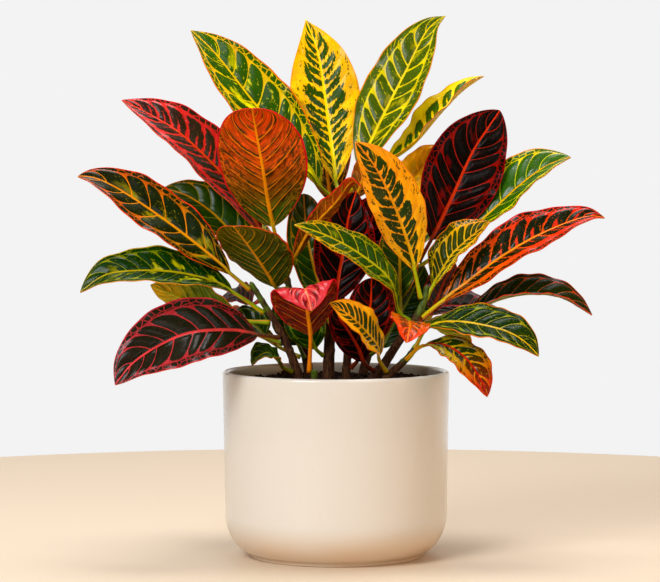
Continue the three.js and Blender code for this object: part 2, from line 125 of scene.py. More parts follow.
class Look(NamedTuple):
    """A kind of leaf. Lists of three colours run from the blade's base over its middle to its tip."""
    ground: list = ["#d8b818", "#e0bc18", "#e8b018"]
    cell: list = ["#35600a", "#386208", "#42680a"]      # the dark cells between the side veins
    vein: str = "#e2b81a"
    rib: list = ["#c8c020", "#e8b820"]                  # the midrib, low and high
    edge: str = "#e0701c"
    stalk: str = "#9aa02a"
    fleck: str = "#e8dc20"      # the specks, streaks and pale patches in the cells
    fill: float = 0.95          # how much of the space between two side veins a cell takes
    ragged: float = 0.12        # how torn its outline is
    inner: float = 0.02         # where it starts, from 0 at the midrib to 1 at the margin
    outer: float = 0.76         # where it ends
    square: float = 4.5         # its shape, from 2 for round to higher for square
    lop: float = 0.0            # how much nearer the midrib the cells of one half end
    split: float = 0.0          # the pale wedge in a cell's middle
    margin: float = 1.0         # how many small cells there are along the margin
    broken: float = 0.25        # how much of the fine net between them is missing
    flecks: float = 0.6         # how many specks and streaks
    blotch: float = 0.0         # how strong the pale patches are
    line: float = 0.3           # half the width of a side vein, in millimetres
    rich: float = 1.25          # how strong the colours are
    gloss: float = 0.22
    under: list = ["#8a9a30", "#8f9834", "#a09030"]     # the back, its streaks, veins, midrib and margin
    streak: str = "#5a6a20"
    under_vein: str = "#c8b040"
    under_rib: str = "#b8b03a"
    under_edge: str = "#d07030"


STEMS = {
    "stem_1": Stem((4.2, 2.0),
        [(-30, -18, 144), (-37, -20, 166), (-47, -22, 187), (-57, -24, 203), (-68, -25, 221)]),
    "stem_2": Stem((5.2, 2.2), [(-6, 5, 144), (-5, 4, 175), (-2, 6, 220), (2, 10, 260), (6, 14, 300)]),
    "stem_3": Stem((4.0, 2.0), [(8, -18, 144), (9, -18, 166), (6, -14, 195), (3, -9, 222)]),
    "stem_4": Stem((4.6, 2.2),
        [(30, -20, 144), (38, -21, 155), (49, -22, 172), (62, -22, 190), (70, -20, 206), (72, -18, 218)]),
    "stem_5": Stem((4.0, 2.2), [(40, -35, 144), (50, -35, 155), (58, -35, 163), (64, -34, 172)]),
    "stem_6": Stem((4.2, 2.0), [(-22, 24, 144), (-30, 21, 180), (-38, 14, 215), (-44, 8, 244)]),
    "stem_7": Stem((4.2, 2.0), [(22, 28, 144), (36, 29, 185), (52, 26, 215), (66, 22, 240)]),
    "stem_8": Stem((3.2, 2.6), [(-17, -46, 144), (-17, -47, 153)]),
}

LEAVES = {
    "leaf_01": Leaf("stem_2", 284, "lime_mesh", "leaf_lime", 60, (0.45, -0.85, 0.3),
        [(-11, 8, 294), (-22, 10, 311), (-64, 22, 360), (-99, 38, 404), (-118, 47, 422)], fold=22, taper=0.95,
        wave=1.1, veins=0.75),
    "leaf_02": Leaf("stem_2", 291, "gold_jagged", "leaf_gold", 58, (0.05, -0.95, 0.3),
        [(0, 23, 298), (-1, 27, 309), (-6, 40, 346), (-15, 58, 405), (-25, 70, 432)], fold=10, taper=1.1,
        veins=0.8),
    "leaf_03": Leaf("stem_2", 297, "olive_pale", "leaf_lime", 54, (-0.4, -0.88, 0.25),
        [(18, 20, 306), (28, 27, 331), (56, 43, 387), (76, 52, 424), (89, 55, 434)], taper=1.0, veins=0.9),
    "leaf_04": Leaf("stem_6", 238, "scarlet", "leaf_scarlet", 72, (0.1, 0.85, 0.5),
        [(-50, -5, 264), (-54, -12, 284), (-58, -26, 312), (-62, -39, 336), (-64, -50, 349), (-65, -60, 357)],
        fold=8, taper=0.6, broadest=0.52, wave=0.8),
    "leaf_05": Leaf("stem_2", 290, "gold_oval", "leaf_gold", 41, (-0.62, -0.35, 0.7),
        [(39, 22, 313), (62, 28, 329), (87, 36, 357), (103, 42, 373), (120, 50, 385)], fold=28, veins=0.7),
    "leaf_06": Leaf("stem_7", 222, "gold_soft", "leaf_gold", 34, (-0.2, -0.9, 0.4),
        [(50, 40, 280), (63, 48, 300), (76, 54, 316), (91, 60, 327)]),
    "leaf_07": Leaf("stem_6", 214, "olive_back", "leaf_olive", 60, (0.22, 0.54, 0.82),
        
        [(-48, -15, 216), (-54, -27, 227), (-61, -40, 239), (-68, -53, 250), (-74, -65, 259),
         (-79, -76, 266)],
        fold=10, taper=0.62, broadest=0.54, wave=0.8),
    "leaf_08": Leaf("stem_7", 236, "night_scarlet", "leaf_night", 64, (0.08, -0.96, 0.25),
        [(77, 20, 253), (93, 28, 285), (111, 34, 324), (122, 37, 341), (133, 40, 357)], fold=12, taper=0.75,
        wave=0.9, veins=0.9),
    "leaf_09": Leaf("stem_4", 206, "amber_jagged", "leaf_gold", 48, (0.35, -0.9, 0.2),
        [(62, -27, 230), (57, -32, 249), (46, -44, 280), (30, -55, 312), (15, -60, 331)], fold=14, wave=1.1,
        veins=0.8),
    "leaf_10": Leaf("stem_7", 230, "green_gold", "leaf_lime", 60, (-0.45, -0.55, 0.7),
        [(92, 20, 248), (122, 22, 272), (148, 22, 296), (170, 21, 312), (189, 20, 319)], fold=22, veins=0.85),
    "leaf_11": Leaf("stem_4", 208, "yellow_olive", "leaf_lime", 40, (-0.6, -0.65, 0.45),
        [(77, -8, 216), (84, -9, 227), (93, -11, 242), (103, -14, 252), (122, -20, 268)], fold=28, veins=1.4),
    "leaf_12": Leaf("stem_4", 194, "flame_jagged", "leaf_orange", 50, (-0.2, -0.6, 0.78),
        [(83, -17, 204), (98, -18, 215), (128, -20, 238), (162, -18, 258), (200, -16, 272), (213, -15, 271)],
        veins=0.78),
    "leaf_13": Leaf("stem_4", 184, "night_copper", "leaf_forest", 44, (0, -0.33, 0.94),
        [(104, -10, 194), (130, -13, 206), (154, -16, 210.5), (178, -18, 208), (203, -20, 194)], fold=25,
        wave=0.5, veins=0.9),
    "leaf_14": Leaf("stem_5", 168, "green_lemon", "leaf_lime", 46, (0.1, -0.55, 0.83),
        [(72, -38, 185), (92, -46, 190), (115, -55, 188), (134, -62, 183), (146, -66, 176), (157, -70, 165)],
        fold=12, wave=1.0, veins=0.85),
    "leaf_15": Leaf("stem_5", 160, "sunset", "leaf_gold", 36, (0.3, -0.6, 0.74),
        [(67, -45, 171), (84, -52, 172), (99, -61, 164), (110, -70, 150), (117, -76, 134)], fold=10, wave=1.1,
        veins=0.8),
    "leaf_16": Leaf("stem_6", 242, "crimson_jagged", "leaf_crimson", 55, (0.42, -0.71, 0.57),
        [(-60, 10, 259), (-84, 17, 296), (-99, 20, 313), (-127, 25, 339), (-146, 27, 351), (-173, 30, 365)],
        veins=0.9),
    "leaf_17": Leaf("stem_1", 216, "green_rust", "leaf_forest", 50, (0.3, -0.72, 0.63),
        
        [(-83, -27, 227), (-112, -32, 252), (-142, -37, 275), (-174, -42, 296), (-190, -44, 303),
         (-202, -45, 304)],
        fold=14, veins=0.7),
    "leaf_18": Leaf("stem_6", 226, "deep_green", "leaf_forest", 46, (0.3, -0.75, 0.6),
        [(-70, 2, 240), (-82, 4, 256), (-99, 8, 274), (-120, 12, 288), (-139, 15, 294)], veins=0.75),
    "leaf_19": Leaf("stem_1", 198, "green_gloss", "leaf_lime", 44, (0.1, -0.62, 0.77),
        
        [(-80, -32, 212), (-94, -36, 220), (-127, -46, 229), (-164, -55, 230), (-180, -58, 227),
         (-199, -60, 214)],
        wave=1.2),
    "leaf_20": Leaf("stem_1", 190, "leafy_back", "leaf_olive", 42, (0.1, 0.75, 0.65),
        [(-76, -18, 190), (-100, -16, 198), (-122, -16, 207), (-147, -20, 218)], fold=10),
    "leaf_21": Leaf("stem_1", 178, "night_rose", "leaf_night", 58, (0.05, -0.86, 0.5),
        
        [(-62, -42, 180), (-82, -53, 184), (-112, -65, 183), (-130, -72, 177), (-156, -81, 161),
         (-170, -86, 144)],
        fold=12, broadest=0.46, wave=1.0, veins=0.85),
    "leaf_22": Leaf("stem_6", 232, "rust_back", "leaf_olive", 20, (-0.45, 0.7, 0.55),
        [(-33, -26, 240), (-21, -33, 261), (0, -38, 284), (13, -40, 300), (20, -46, 296)], fold=14),
    "leaf_23": Leaf("stem_4", 188, "green_stripe", "leaf_lime", 33, (0.25, -0.7, 0.66),
        [(50, -32, 197), (42, -40, 222), (19, -52, 243), (-7, -64, 258), (-32, -75, 267)], fold=12),
    "leaf_24": Leaf("stem_3", 190, "night_scarlet", "leaf_night", 50, (0.05, -0.97, 0.2),
        [(0, -22, 203), (2, -20, 224), (6, -15, 245), (10, -11, 272), (16, -9, 292)], fold=14, wave=1.0,
        veins=0.8),
    "leaf_25": Leaf("stem_3", 218, "night_scarlet", "leaf_night", 42, (-0.1, -0.95, 0.25),
        [(12, 0, 236), (20, 4, 252), (29, 8, 270), (37, 12, 290)]),
    "leaf_26": Leaf("stem_4", 180, "deep_green", "leaf_forest", 34, (-0.2, -0.95, 0.2),
        [(51, -16, 206), (51, -16, 220), (49, -15, 253), (42, -12, 273)]),
    "leaf_27": Leaf("stem_2", 276, "rust_back", "leaf_olive", 24, (0.3, 0.85, 0.4),
        [(16, 8, 287), (21, 4, 300), (27, 0, 314), (32, -4, 325)]),
    "leaf_28": Leaf("stem_8", 150, "coral_back", "leaf_scarlet", 54, (-0.15, 0.8, 0.5),
        
        [(-20, -50, 180), (-22, -60, 197), (-24, -73, 213), (-24, -86, 218), (-21, -96, 211),
         (-19, -101, 202)],
        fold=8, taper=0.78, wave=0.8),
    "leaf_29": Leaf("stem_4", 148, "night_scarlet", "leaf_night", 28, (-0.2, -0.85, 0.4),
        [(22, -34, 158), (17, -40, 170), (9, -44, 184), (2, -45, 195), (1, -47, 205)]),
    "leaf_30": Leaf("stem_5", 148, "orange_striped", "leaf_gold", 34, (0.3, -0.75, 0.6),
        [(34, -46, 160), (32, -54, 171), (20, -68, 187), (10, -77, 197), (-5, -85, 207)], veins=1.6),
    "leaf_31": Leaf("stem_4", 178, "coral_small", "leaf_orange", 32, (0.3, -0.1, 0.93),
        [(53, -32, 186), (56, -50, 191), (57, -68, 190), (56, -82, 185), (54, -91, 177)], fold=8),
    "leaf_32": Leaf("stem_1", 150, "forest", "leaf_forest", 24, (0.0, -0.5, 0.86),
        [(-42, -27, 153), (-47, -33, 160), (-54, -38, 165), (-61, -42, 162), (-66, -44, 156)]),
    "leaf_33": Leaf("stem_4", 190, "slate_rose", "leaf_night", 28, (-0.3, -0.9, 0.3),
        [(76, -6, 196), (82, -2, 208), (88, 2, 222), (96, 4, 234)]),
    "leaf_34": Leaf("stem_1", 206, "slate_rose", "leaf_crimson", 26, (0, -0.7, 0.7),
        [(-68, -2, 202), (-74, 8, 206), (-84, 20, 207), (-96, 30, 200)]),
    "leaf_35": Leaf("stem_1", 172, "forest", "leaf_forest", 34, (0, -0.6, 0.8),
        [(-56, -8, 176), (-66, 4, 184), (-78, 14, 188), (-92, 22, 186)]),
    "leaf_36": Leaf("stem_6", 218, "lime_mesh", "leaf_lime", 52, (0.4, -0.35, 0.85),
        [(-52, 34, 232), (-70, 52, 252), (-92, 74, 268), (-114, 94, 274), (-130, 108, 268)]),
    "leaf_37": Leaf("stem_2", 262, "scarlet", "leaf_orange", 48, (0.1, -0.75, 0.6),
        [(-4, 38, 282), (-8, 58, 310), (-13, 82, 344), (-17, 98, 366), (-19, 110, 382)]),
    "leaf_38": Leaf("stem_7", 228, "green_gold", "leaf_lime", 52, (-0.4, -0.5, 0.77),
        [(66, 40, 244), (82, 58, 266), (100, 78, 286), (118, 96, 296), (134, 110, 294)]),
    "leaf_39": Leaf("stem_6", 176, "crimson_jagged", "leaf_crimson", 52, (0, 0.2, 0.98),
        [(-38, 44, 178), (-52, 66, 185), (-68, 92, 183), (-82, 116, 173), (-92, 134, 157)]),
    "leaf_40": Leaf("stem_7", 192, "green_rust", "leaf_forest", 46, (-0.1, 0.2, 0.97),
        [(46, 48, 196), (54, 70, 204), (62, 94, 202), (70, 118, 192), (76, 136, 176)]),
    "leaf_41": Leaf("stem_2", 228, "night_scarlet", "leaf_night", 54, (0, -0.2, 0.98),
        [(2, 26, 236), (6, 52, 248), (10, 82, 252), (12, 112, 242), (12, 138, 222)]),
    "leaf_42": Leaf("stem_7", 172, "amber_jagged", "leaf_gold", 42, (0.2, 0.2, 0.95),
        [(46, 44, 176), (64, 58, 181), (84, 72, 177), (100, 84, 167), (111, 92, 154)]),
    "leaf_43": Leaf("stem_6", 158, "yellow_olive", "leaf_lime", 44, (-0.2, 0.1, 0.97),
        [(-44, 30, 164), (-64, 38, 174), (-88, 46, 176), (-112, 52, 168), (-128, 56, 154)]),
    "leaf_44": Leaf("stem_2", 192, "flame_jagged", "leaf_orange", 48, (-0.1, 0.2, 0.97),
        [(-4, 28, 194), (-8, 52, 200), (-14, 80, 196), (-18, 104, 182), (-20, 122, 162)]),
    "leaf_45": Leaf("stem_7", 198, "night_rose", "leaf_crimson", 46, (-0.05, -0.5, 0.86),
        [(66, 30, 192), (88, 44, 197), (112, 58, 196), (133, 72, 190), (148, 84, 181)], fold=10),
    "leaf_46": Leaf("stem_6", 158, "forest", "leaf_forest", 30, (-0.2, -0.93, 0.3),
        [(-30, 10, 168), (-34, 5, 180), (-39, 0, 196), (-43, -3, 211)], taper=0.7),
    "leaf_47": Leaf("stem_2", 160, "forest", "leaf_forest", 34, (-0.1, -0.95, 0.25),
        [(-16, -4, 166), (-21, -8, 178), (-28, -9, 194), (-34, -8, 210)]),
    "leaf_48": Leaf("stem_3", 152, "night_scarlet", "leaf_night", 40, (0.15, -0.95, 0.25),
        [(18, -26, 160), (23, -29, 180), (27, -30, 202), (28, -30, 224)], taper=0.6, broadest=0.6),
    "leaf_49": Leaf("stem_7", 160, "forest", "leaf_forest", 42, (0.1, -0.92, 0.35),
        [(36, 13, 166), (45, 13, 182), (59, 12, 206), (71, 11, 232)]),
    "leaf_50": Leaf("stem_3", 168, "deep_green", "leaf_forest", 38, (0.2, -0.95, 0.2),
        [(-4, -16, 186), (-10, -13, 207), (-18, -5, 232), (-24, 2, 262), (-26, 5, 290)], taper=0.55,
        broadest=0.6),
}

LOOKS = {
    "lime_mesh": Look(ground=["#c8b018", "#d4b41a", "#e0a818"], cell=["#284c08", "#2a5008", "#325808"],
        vein="#e4c41c", fleck="#e8e01c", square=3.0, flecks=0.8, blotch=0.9, line=0.24, gloss=0.08),
    "gold_jagged": Look(ground=["#ffc814", "#ffc410", "#ffb80c"], cell=["#2a4c08", "#2b4a0a", "#2f500c"],
        vein="#ffd824", rib=["#f0dc58", "#ffe054"], edge="#f2a008", fleck="#ffc414", fill=0.84, ragged=1.7,
        inner=0.04, outer=0.66, square=3.0, split=0.5, margin=0.2, flecks=0.25, gloss=0.16),
    "olive_pale": Look(ground=["#d8c82c", "#d8c830", "#ccc030"], cell=["#44580a", "#465a0c", "#4a5e0c"],
        vein="#e4cc28", rib=["#ecd864", "#e8cc3c"], edge="#d88a2a", fleck="#c4b428", fill=0.9, ragged=0.3,
        outer=0.7, square=3.0, margin=0.7, broken=0.85, flecks=0.9, blotch=0.6, line=0.45, gloss=0.18),
    "scarlet": Look(ground=["#c88018", "#e06018", "#e04018"], cell=["#2a2a08", "#3a2408", "#401c08"],
        vein="#e88020", rib=["#e89028", "#e87020"], edge="#c81c24", stalk="#c8a030", outer=0.84, broken=0.5,
        line=0.42, under=["#4c640e", "#ec5c1c", "#ff5a2c"], streak="#222c06", under_vein="#ffa060",
        under_rib="#ffa040", under_edge="#d81c28"),
    "gold_oval": Look(ground=["#ffdc1c", "#ffdc1c", "#ffd01c"], cell=["#3c6418", "#3f5f14", "#46620f"],
        vein="#f4d028", rib=["#e8d848", "#f0c830"], edge="#e09020", fleck="#f0d820", fill=0.78, ragged=0.5,
        inner=0.12, outer=0.66, square=3.0, split=0.2, margin=0.08, flecks=0.4, gloss=0.12,
        under=["#fcd824", "#ffd420", "#ffc41c"], streak="#b8b020", under_vein="#ffdc30"),
    "gold_soft": Look(ground=["#f8c020", "#ffb424", "#ffac20"], cell=["#d8a81c", "#e0a81c", "#e8a01c"],
        vein="#f4bc38", rib=["#f0c048", "#f0b038"], edge="#e08018", fill=0.6, ragged=0.6, square=3.0,
        margin=0.2, flecks=0.1, under=["#ffc828", "#ffc02c", "#ffb428"], streak="#b8981c",
        under_vein="#f8c030"),
    "olive_back": Look(ground=["#c89020", "#d08020", "#d07020"], cell=["#243a0c", "#2a380c", "#32340c"],
        vein="#d88a20", rib=["#c8a030", "#d88828"], edge="#cc4c20", stalk="#8f8a28", outer=0.84, broken=0.6,
        line=0.42, under=["#44580e", "#525c10", "#6a6014"], streak="#1e3206", under_vein="#e0a030",
        under_rib="#d8922c", under_edge="#cc4c28"),
    "night_scarlet": Look(ground=["#5c100c", "#861a14", "#8c1c18"], cell=["#0c0704", "#0c0704", "#100a06"],
        vein="#ac261c", rib=["#b83820", "#e04430"], edge="#94181c", stalk="#7a3420", fleck="#8a1614",
        fill=0.96, outer=0.8, square=3.2, broken=0.3, flecks=0.35, blotch=0.6, rich=1.05, gloss=0.05,
        under=["#341410", "#421612", "#501814"], streak="#240e0c", under_vein="#8a2420", under_rib="#a83020",
        under_edge="#8a1a1c"),
    "amber_jagged": Look(ground=["#f4b818", "#ffa814", "#ff9814"], cell=["#1c3606", "#203406", "#28380a"],
        vein="#ff9c18", rib=["#e8b41c", "#f48c10"], edge="#f88c10", stalk="#a8b428", fleck="#f4c014",
        fill=0.94, ragged=1.1, outer=0.7, square=3.0, lop=0.3, split=0.25, margin=0.25),
    "green_gold": Look(ground=["#d0d018", "#d8d41c", "#e4c41c"], cell=["#2a5412", "#2e5a14", "#386212"],
        vein="#d8d818", rib=["#e0b418", "#f0a810"], edge="#e88c18", stalk="#b8b82a", fleck="#c8c820",
        fill=0.97, ragged=0.08, outer=0.78, square=3.4, broken=0.5, flecks=0.25, line=0.28, gloss=0.34),
    "yellow_olive": Look(ground=["#f4e008", "#fcc40a", "#fca010"], cell=["#304006", "#344206", "#3c4406"],
        vein="#f0c008", rib=["#e0c81c", "#f0a81c"], edge="#e87818", stalk="#b8c030", fleck="#f0d810",
        fill=0.84, ragged=0.2, outer=0.7, square=3.2, margin=0.6, flecks=0.2, line=0.8),
    "flame_jagged": Look(ground=["#d86a18", "#e03c18", "#e42c1c"], cell=["#141f06", "#111804", "#141a06"],
        vein="#e0581c", rib=["#e8941c", "#f07a20"], edge="#d41420", stalk="#c8b428", fleck="#e06020",
        fill=0.92, ragged=0.8, square=3.0, lop=0.3, split=0.35, margin=0.6, flecks=0.7,
        under=["#b06a20", "#c84a20", "#d03020"], streak="#5a3a14", under_vein="#e88838"),
    "night_copper": Look(ground=["#a86030", "#b05830", "#c04028"], cell=["#142208", "#1a2a0c", "#22260e"],
        vein="#b8683c", rib=["#a08030", "#c86030"], edge="#d8402a", stalk="#8a8c28", fleck="#8a7430",
        fill=0.97, ragged=0.08, outer=0.82, square=3.4, margin=0.9, broken=1.0, flecks=0.2, line=0.28,
        gloss=0.16, under=["#7c8420", "#8a7a24", "#b04a28"], streak="#5c6018", under_vein="#b89040",
        under_rib="#a8982c", under_edge="#d03a22"),
    "green_lemon": Look(ground=["#748618", "#7c8818", "#988c18"], cell=["#0e2a04", "#102c04", "#182e06"],
        vein="#b8a81c", rib=["#c8a820", "#d8a824"], edge="#e08020", stalk="#9aa82c", fleck="#d0c81c",
        fill=0.97, ragged=0.08, outer=0.78, square=3.4, broken=0.9, flecks=0.45, blotch=0.1, line=0.2,
        gloss=0.14),
    "sunset": Look(ground=["#989018", "#b88c18", "#cc3020"], cell=["#16300a", "#22300a", "#7c2c18"],
        vein="#e8b41c", rib=["#c03018", "#cc2420"], edge="#d8141c", stalk="#c0a028", fleck="#e8c81c",
        fill=0.8, ragged=0.55, outer=0.74, square=3.0, lop=0.3, split=0.2, margin=0.4, flecks=0.7),
    "crimson_jagged": Look(ground=["#b83432", "#d43836", "#e84440"], cell=["#22220e", "#2a2410", "#341c12"],
        vein="#d43424", rib=["#e86034", "#e04430"], edge="#d81c28", stalk="#b04a30", fleck="#c83430",
        fill=0.84, ragged=0.95, outer=0.8, square=3.0, split=0.3, margin=0.9, flecks=0.5, rich=1.04,
        gloss=0.26, under=["#8a2c20", "#a02424", "#a82028"], streak="#3c1812", under_vein="#c85030"),
    "green_rust": Look(ground=["#a0781a", "#b8641c", "#c44c1c"], cell=["#0f1e05", "#122005", "#181c06"],
        vein="#e89020", rib=["#e8a020", "#e88c20"], edge="#dc3018", stalk="#a08c28", fleck="#e8d81c",
        ragged=0.14, outer=0.78, square=3.4, margin=0.9, broken=0.5, flecks=0.25, blotch=0.35, line=0.26),
    "night_rose": Look(ground=["#8c282a", "#a03034", "#b43a40"], cell=["#16180a", "#181808", "#1e180a"],
        vein="#c83c40", rib=["#cc4844", "#d84448"], edge="#c03440", stalk="#6a4428", fleck="#a01c22",
        ragged=0.3, square=3.2, broken=0.3, flecks=0.3, line=0.2, rich=1.04, gloss=0.2,
        under=["#5a1c1a", "#6a1c1e", "#7a1c20"], streak="#2c1010", under_vein="#b03030"),
    "leafy_back": Look(stalk="#8fa030", line=0.4, under=["#4a701a", "#8ca41e", "#f8c01c"], streak="#4a6a14",
        under_vein="#c0bc50", under_rib="#b8b848", under_edge="#e88a1c"),
    "rust_back": Look(ground=["#c87820", "#cc5820", "#cc3820"], cell=["#2c280c", "#34200c", "#3c180c"],
        vein="#d07020", rib=["#d88c28", "#d06020"], edge="#cc2424", stalk="#b08a30", line=0.4,
        under=["#5c3c14", "#b05a20", "#d8604c"], streak="#6a4018", under_vein="#f0a04a", under_rib="#dc9434",
        under_edge="#d85050"),
    "green_stripe": Look(ground=["#6c8816", "#9a981a", "#e0a81c"], cell=["#1e4608", "#204608", "#304a0a"],
        vein="#ccb81c", rib=["#a8b030", "#d0b82a"], edge="#d09020", stalk="#8fa82c", fleck="#c8cc24",
        fill=0.92, ragged=0.45, outer=0.74, margin=0.5, blotch=0.4),
    "coral_back": Look(ground=["#a83034", "#c03c40", "#d05458"], cell=["#5a1816", "#6a1c1c", "#7a2426"],
        vein="#f0887c", rib=["#e07820", "#f08868"], edge="#c01c24", stalk="#e8842c", fill=0.4, ragged=0.9,
        inner=0.15, outer=0.84, square=3.0, margin=0.0, broken=0.5, line=0.45, rich=1.1,
        under=["#7c2410", "#a02c18", "#b4342c"], streak="#2c0c08", under_vein="#e8843a", under_rib="#f09030",
        under_edge="#c81c28"),
    "orange_striped": Look(ground=["#f8b81c", "#ffb01c", "#ffa01c"], cell=["#2c3c0a", "#2a3a08", "#303a08"],
        vein="#f0a81c", rib=["#e8b824", "#f0a01c"], stalk="#c8ac28", fleck="#f0b420", fill=0.74, ragged=0.4,
        inner=0.08, outer=0.8, square=3.0, margin=0.2, flecks=0.2, line=0.7),
    "coral_small": Look(ground=["#b8781c", "#d0601c", "#f05c48"], cell=["#2c2c08", "#4c2e0c", "#84341c"],
        vein="#e88040", rib=["#e08a30", "#f08c58"], edge="#d03830", stalk="#b88c30", fill=0.7, ragged=1.2,
        square=3.0, split=0.5, margin=0.2, flecks=0.8, under=["#6a4a18", "#84481c", "#b04c28"],
        streak="#4a3010", under_vein="#c08040", under_rib="#c88838", under_edge="#d03c30"),
    "green_gloss": Look(ground=["#5c741a", "#687a1a", "#8c8818"], cell=["#0f300a", "#10320a", "#16360a"],
        vein="#8a941c", rib=["#a8a028", "#c0a828"], edge="#c8a024", stalk="#8fa02c", fleck="#e4dc1c",
        fill=0.97, ragged=0.08, outer=0.8, square=3.4, broken=0.9, flecks=0.3, blotch=0.7, line=0.26,
        gloss=0.18),
    "deep_green": Look(ground=["#6c7018", "#78701a", "#a0641c"], cell=["#1d340c", "#1f380d", "#26360e"],
        vein="#7a7a20", rib=["#a08824", "#b87424"], edge="#d0561c", stalk="#8a8228", fleck="#8a8020",
        fill=0.97, ragged=0.08, outer=0.8, square=3.4, margin=0.8, broken=0.7, flecks=0.15, line=0.26,
        gloss=0.18),
    "forest": Look(ground=["#5c7a20", "#6a8020", "#7c8420"], cell=["#17300c", "#1a340e", "#1e360e"],
        vein="#5c6a1c", rib=["#6c7424", "#7a7a28"], edge="#7a6a20", stalk="#6f7c28", fleck="#7a8a20",
        fill=0.93, ragged=0.14, broken=0.8, flecks=0.15, line=0.35),
    # A dark leaf with a rose ground and a red edge, its colours greyed by a painted sheen.
    "slate_rose": Look(ground=["#7a4440", "#8a5450", "#a8625c"], cell=["#2a2420", "#38302c", "#4a3c38"],
        vein="#94504a", rib=["#a85a4c", "#b86458"], edge="#b83a3c", stalk="#8a5040", fill=0.9, ragged=0.2,
        flecks=0.1, line=0.4, gloss=0.12, under=["#6a4440", "#7c504a", "#94605a"], streak="#4a3230",
        under_vein="#a8685c", under_rib="#b0705c", under_edge="#b83a3c"),
}

MATH = "ShaderNodeMath"
MAP = "ShaderNodeMapRange"
MIX = "ShaderNodeMix"


def linear(code, alpha=True):
    """An sRGB hex colour as the linear values that Blender's sockets take."""
    parts = [int(code[i:i + 2], 16) / 255 for i in (1, 3, 5)]
    values = [p / 12.92 if p <= 0.04045 else ((p + 0.055) / 1.055) ** 2.4 for p in parts]
    return (*values, 1.0) if alpha else tuple(values)


def fill(tree, node, sockets):
    """Fills sockets, by name or from the first on, with values, nodes, outputs or sRGB hex colours."""
    for name, value in sockets.items() if isinstance(sockets, dict) else enumerate(sockets):
        socket = node.inputs[name]
        if isinstance(value, bpy.types.Node):
            value = next(output for output in value.outputs if output.enabled)
        if isinstance(value, bpy.types.NodeSocket):
            tree.links.new(value, socket)
        else:
            socket.default_value = linear(value) if isinstance(value, str) else value


def put(tree, kind, sockets, stops=(), **settings):
    """Adds a node with its settings and links, and the stops of a colour ramp."""
    node = tree.nodes.new(kind)
    for name, value in settings.items():
        setattr(node, name, value)
    fill(tree, node, sockets)
    for i, (place, colour) in enumerate(stops):
        ramp = node.color_ramp
        stop = ramp.elements[i] if i < len(ramp.elements) else ramp.elements.new(place)
        stop.position = place
        stop.color = linear(colour)
    return node


def new_material(name):
    """An empty material with its Principled shader wired up, and the function that adds nodes to it."""
    material = bpy.data.materials.new(name)
    material.use_nodes = True
    tree = material.node_tree
    tree.nodes.clear()
    shader = put(tree, "ShaderNodeBsdfPrincipled", [])
    put(tree, "ShaderNodeOutputMaterial", {"Surface": shader})
    return material, partial(put, tree), shader


def glazed_stoneware(colours):
    """Glazed stoneware, dipped and fired: an even, glassy cream coat, with painted shade and reflection low
    down.
    """
    material, add, shader = new_material("cream glazed stoneware, fired gloss")
    place = add("ShaderNodeTexCoord", []).outputs["Object"]
    height = add("ShaderNodeSeparateXYZ", [place]).outputs["Z"]
    # Painted shade and table reflection: darker, warmer in the last 34 mm up, more or less over a width of 70
    # mm.
    low_shade = add(MAP, [height, 0.034, 0.008], interpolation_type="SMOOTHSTEP")
    drift = add("ShaderNodeTexNoise", {"Vector": place, "Scale": 14.0, "Detail": 3.0})
    warm = add(MATH, [low_shade, add(MAP, [drift, 0.25, 0.75, 0.35, 0.75])], operation="MULTIPLY")
    coat = add(MIX, {0: warm, 6: tuple(colours.glaze) + (1,), 7: tuple(colours.shaded_low_glaze) + (1,)},
               data_type="RGBA")
    # Specks of iron under the glaze, 5 mm apart and half a millimetre across, are only just to be seen.
    speck = add("ShaderNodeTexVoronoi", {"Vector": place, "Scale": 220.0})
    speckle = add(MAP, [speck.outputs["Distance"], 0.1, 0.06, 0.0, 0.22])
    coat = add(MIX, {0: speckle, 6: coat, 7: "#b89a78"}, data_type="RGBA")
    # Painted shade inside, below the lip: the wall is darker and browner there, so the soil has a dark rim.
    inside = add("ShaderNodeVectorMath", [place, (1, 1, 0)], operation="MULTIPLY")
    radius = add("ShaderNodeVectorMath", [inside], operation="LENGTH").outputs["Value"]
    below = add(MATH, [add(MAP, [height, *PAINTED_SHADE_TOP]), add(MAP, [height, *PAINTED_SHADE_FOOT])],
                operation="MULTIPLY")
    painted_inner_shade = add(MATH, [add(MAP, [radius, *PAINTED_SHADE_RADII]), below], operation="MULTIPLY")
    coat = add(MIX, {0: painted_inner_shade, 6: coat, 7: "#8f7854"}, data_type="RGBA")
    # Orange-peel of a fired coat, 11 mm from swell to swell.
    swell = add("ShaderNodeTexNoise", {"Vector": place, "Scale": 90.0, "Detail": 2.0})
    bump = add("ShaderNodeBump", {"Strength": 0.12, "Distance": 0.0006, "Height": swell})
    rough = add(MAP, [drift, 0.3, 0.7, 0.16, 0.26])
    fill(material.node_tree, shader, {"Base Color": coat, "Roughness": rough, "Normal": bump, "IOR": 1.52,
        "Coat Weight": 0.35, "Coat Roughness": 0.08})
    return material


def potting_mix():
    """Peat and composted bark, sieved: near black when moist, with brown fibres and a dull, grainy face."""
    material, add, shader = new_material("moist peat potting mix, sieved")
    place = add("ShaderNodeTexCoord", []).outputs["Object"]
    # Lumps are 2 to 5 mm, and the grit on them under 1 mm.
    lumps = add("ShaderNodeTexNoise", {"Vector": place, "Scale": 260.0, "Detail": 5.0, "Roughness": 0.65})
    earth = add("ShaderNodeValToRGB", [lumps],
                [(0.3, "#0a0502"), (0.5, "#1e1007"), (0.64, "#402412"), (0.74, "#724828")])
    grit = add("ShaderNodeTexNoise", {"Vector": place, "Scale": 1100.0, "Detail": 3.0})
    bump = add("ShaderNodeBump", {"Strength": 0.8, "Distance": 0.0008, "Height": grit})
    rough = add(MAP, [lumps, 0.3, 0.7, 0.75, 0.98])
    fill(material.node_tree, shader, {"Base Color": earth, "Roughness": rough, "Normal": bump,
        "Specular IOR Level": 0.12})
    return material


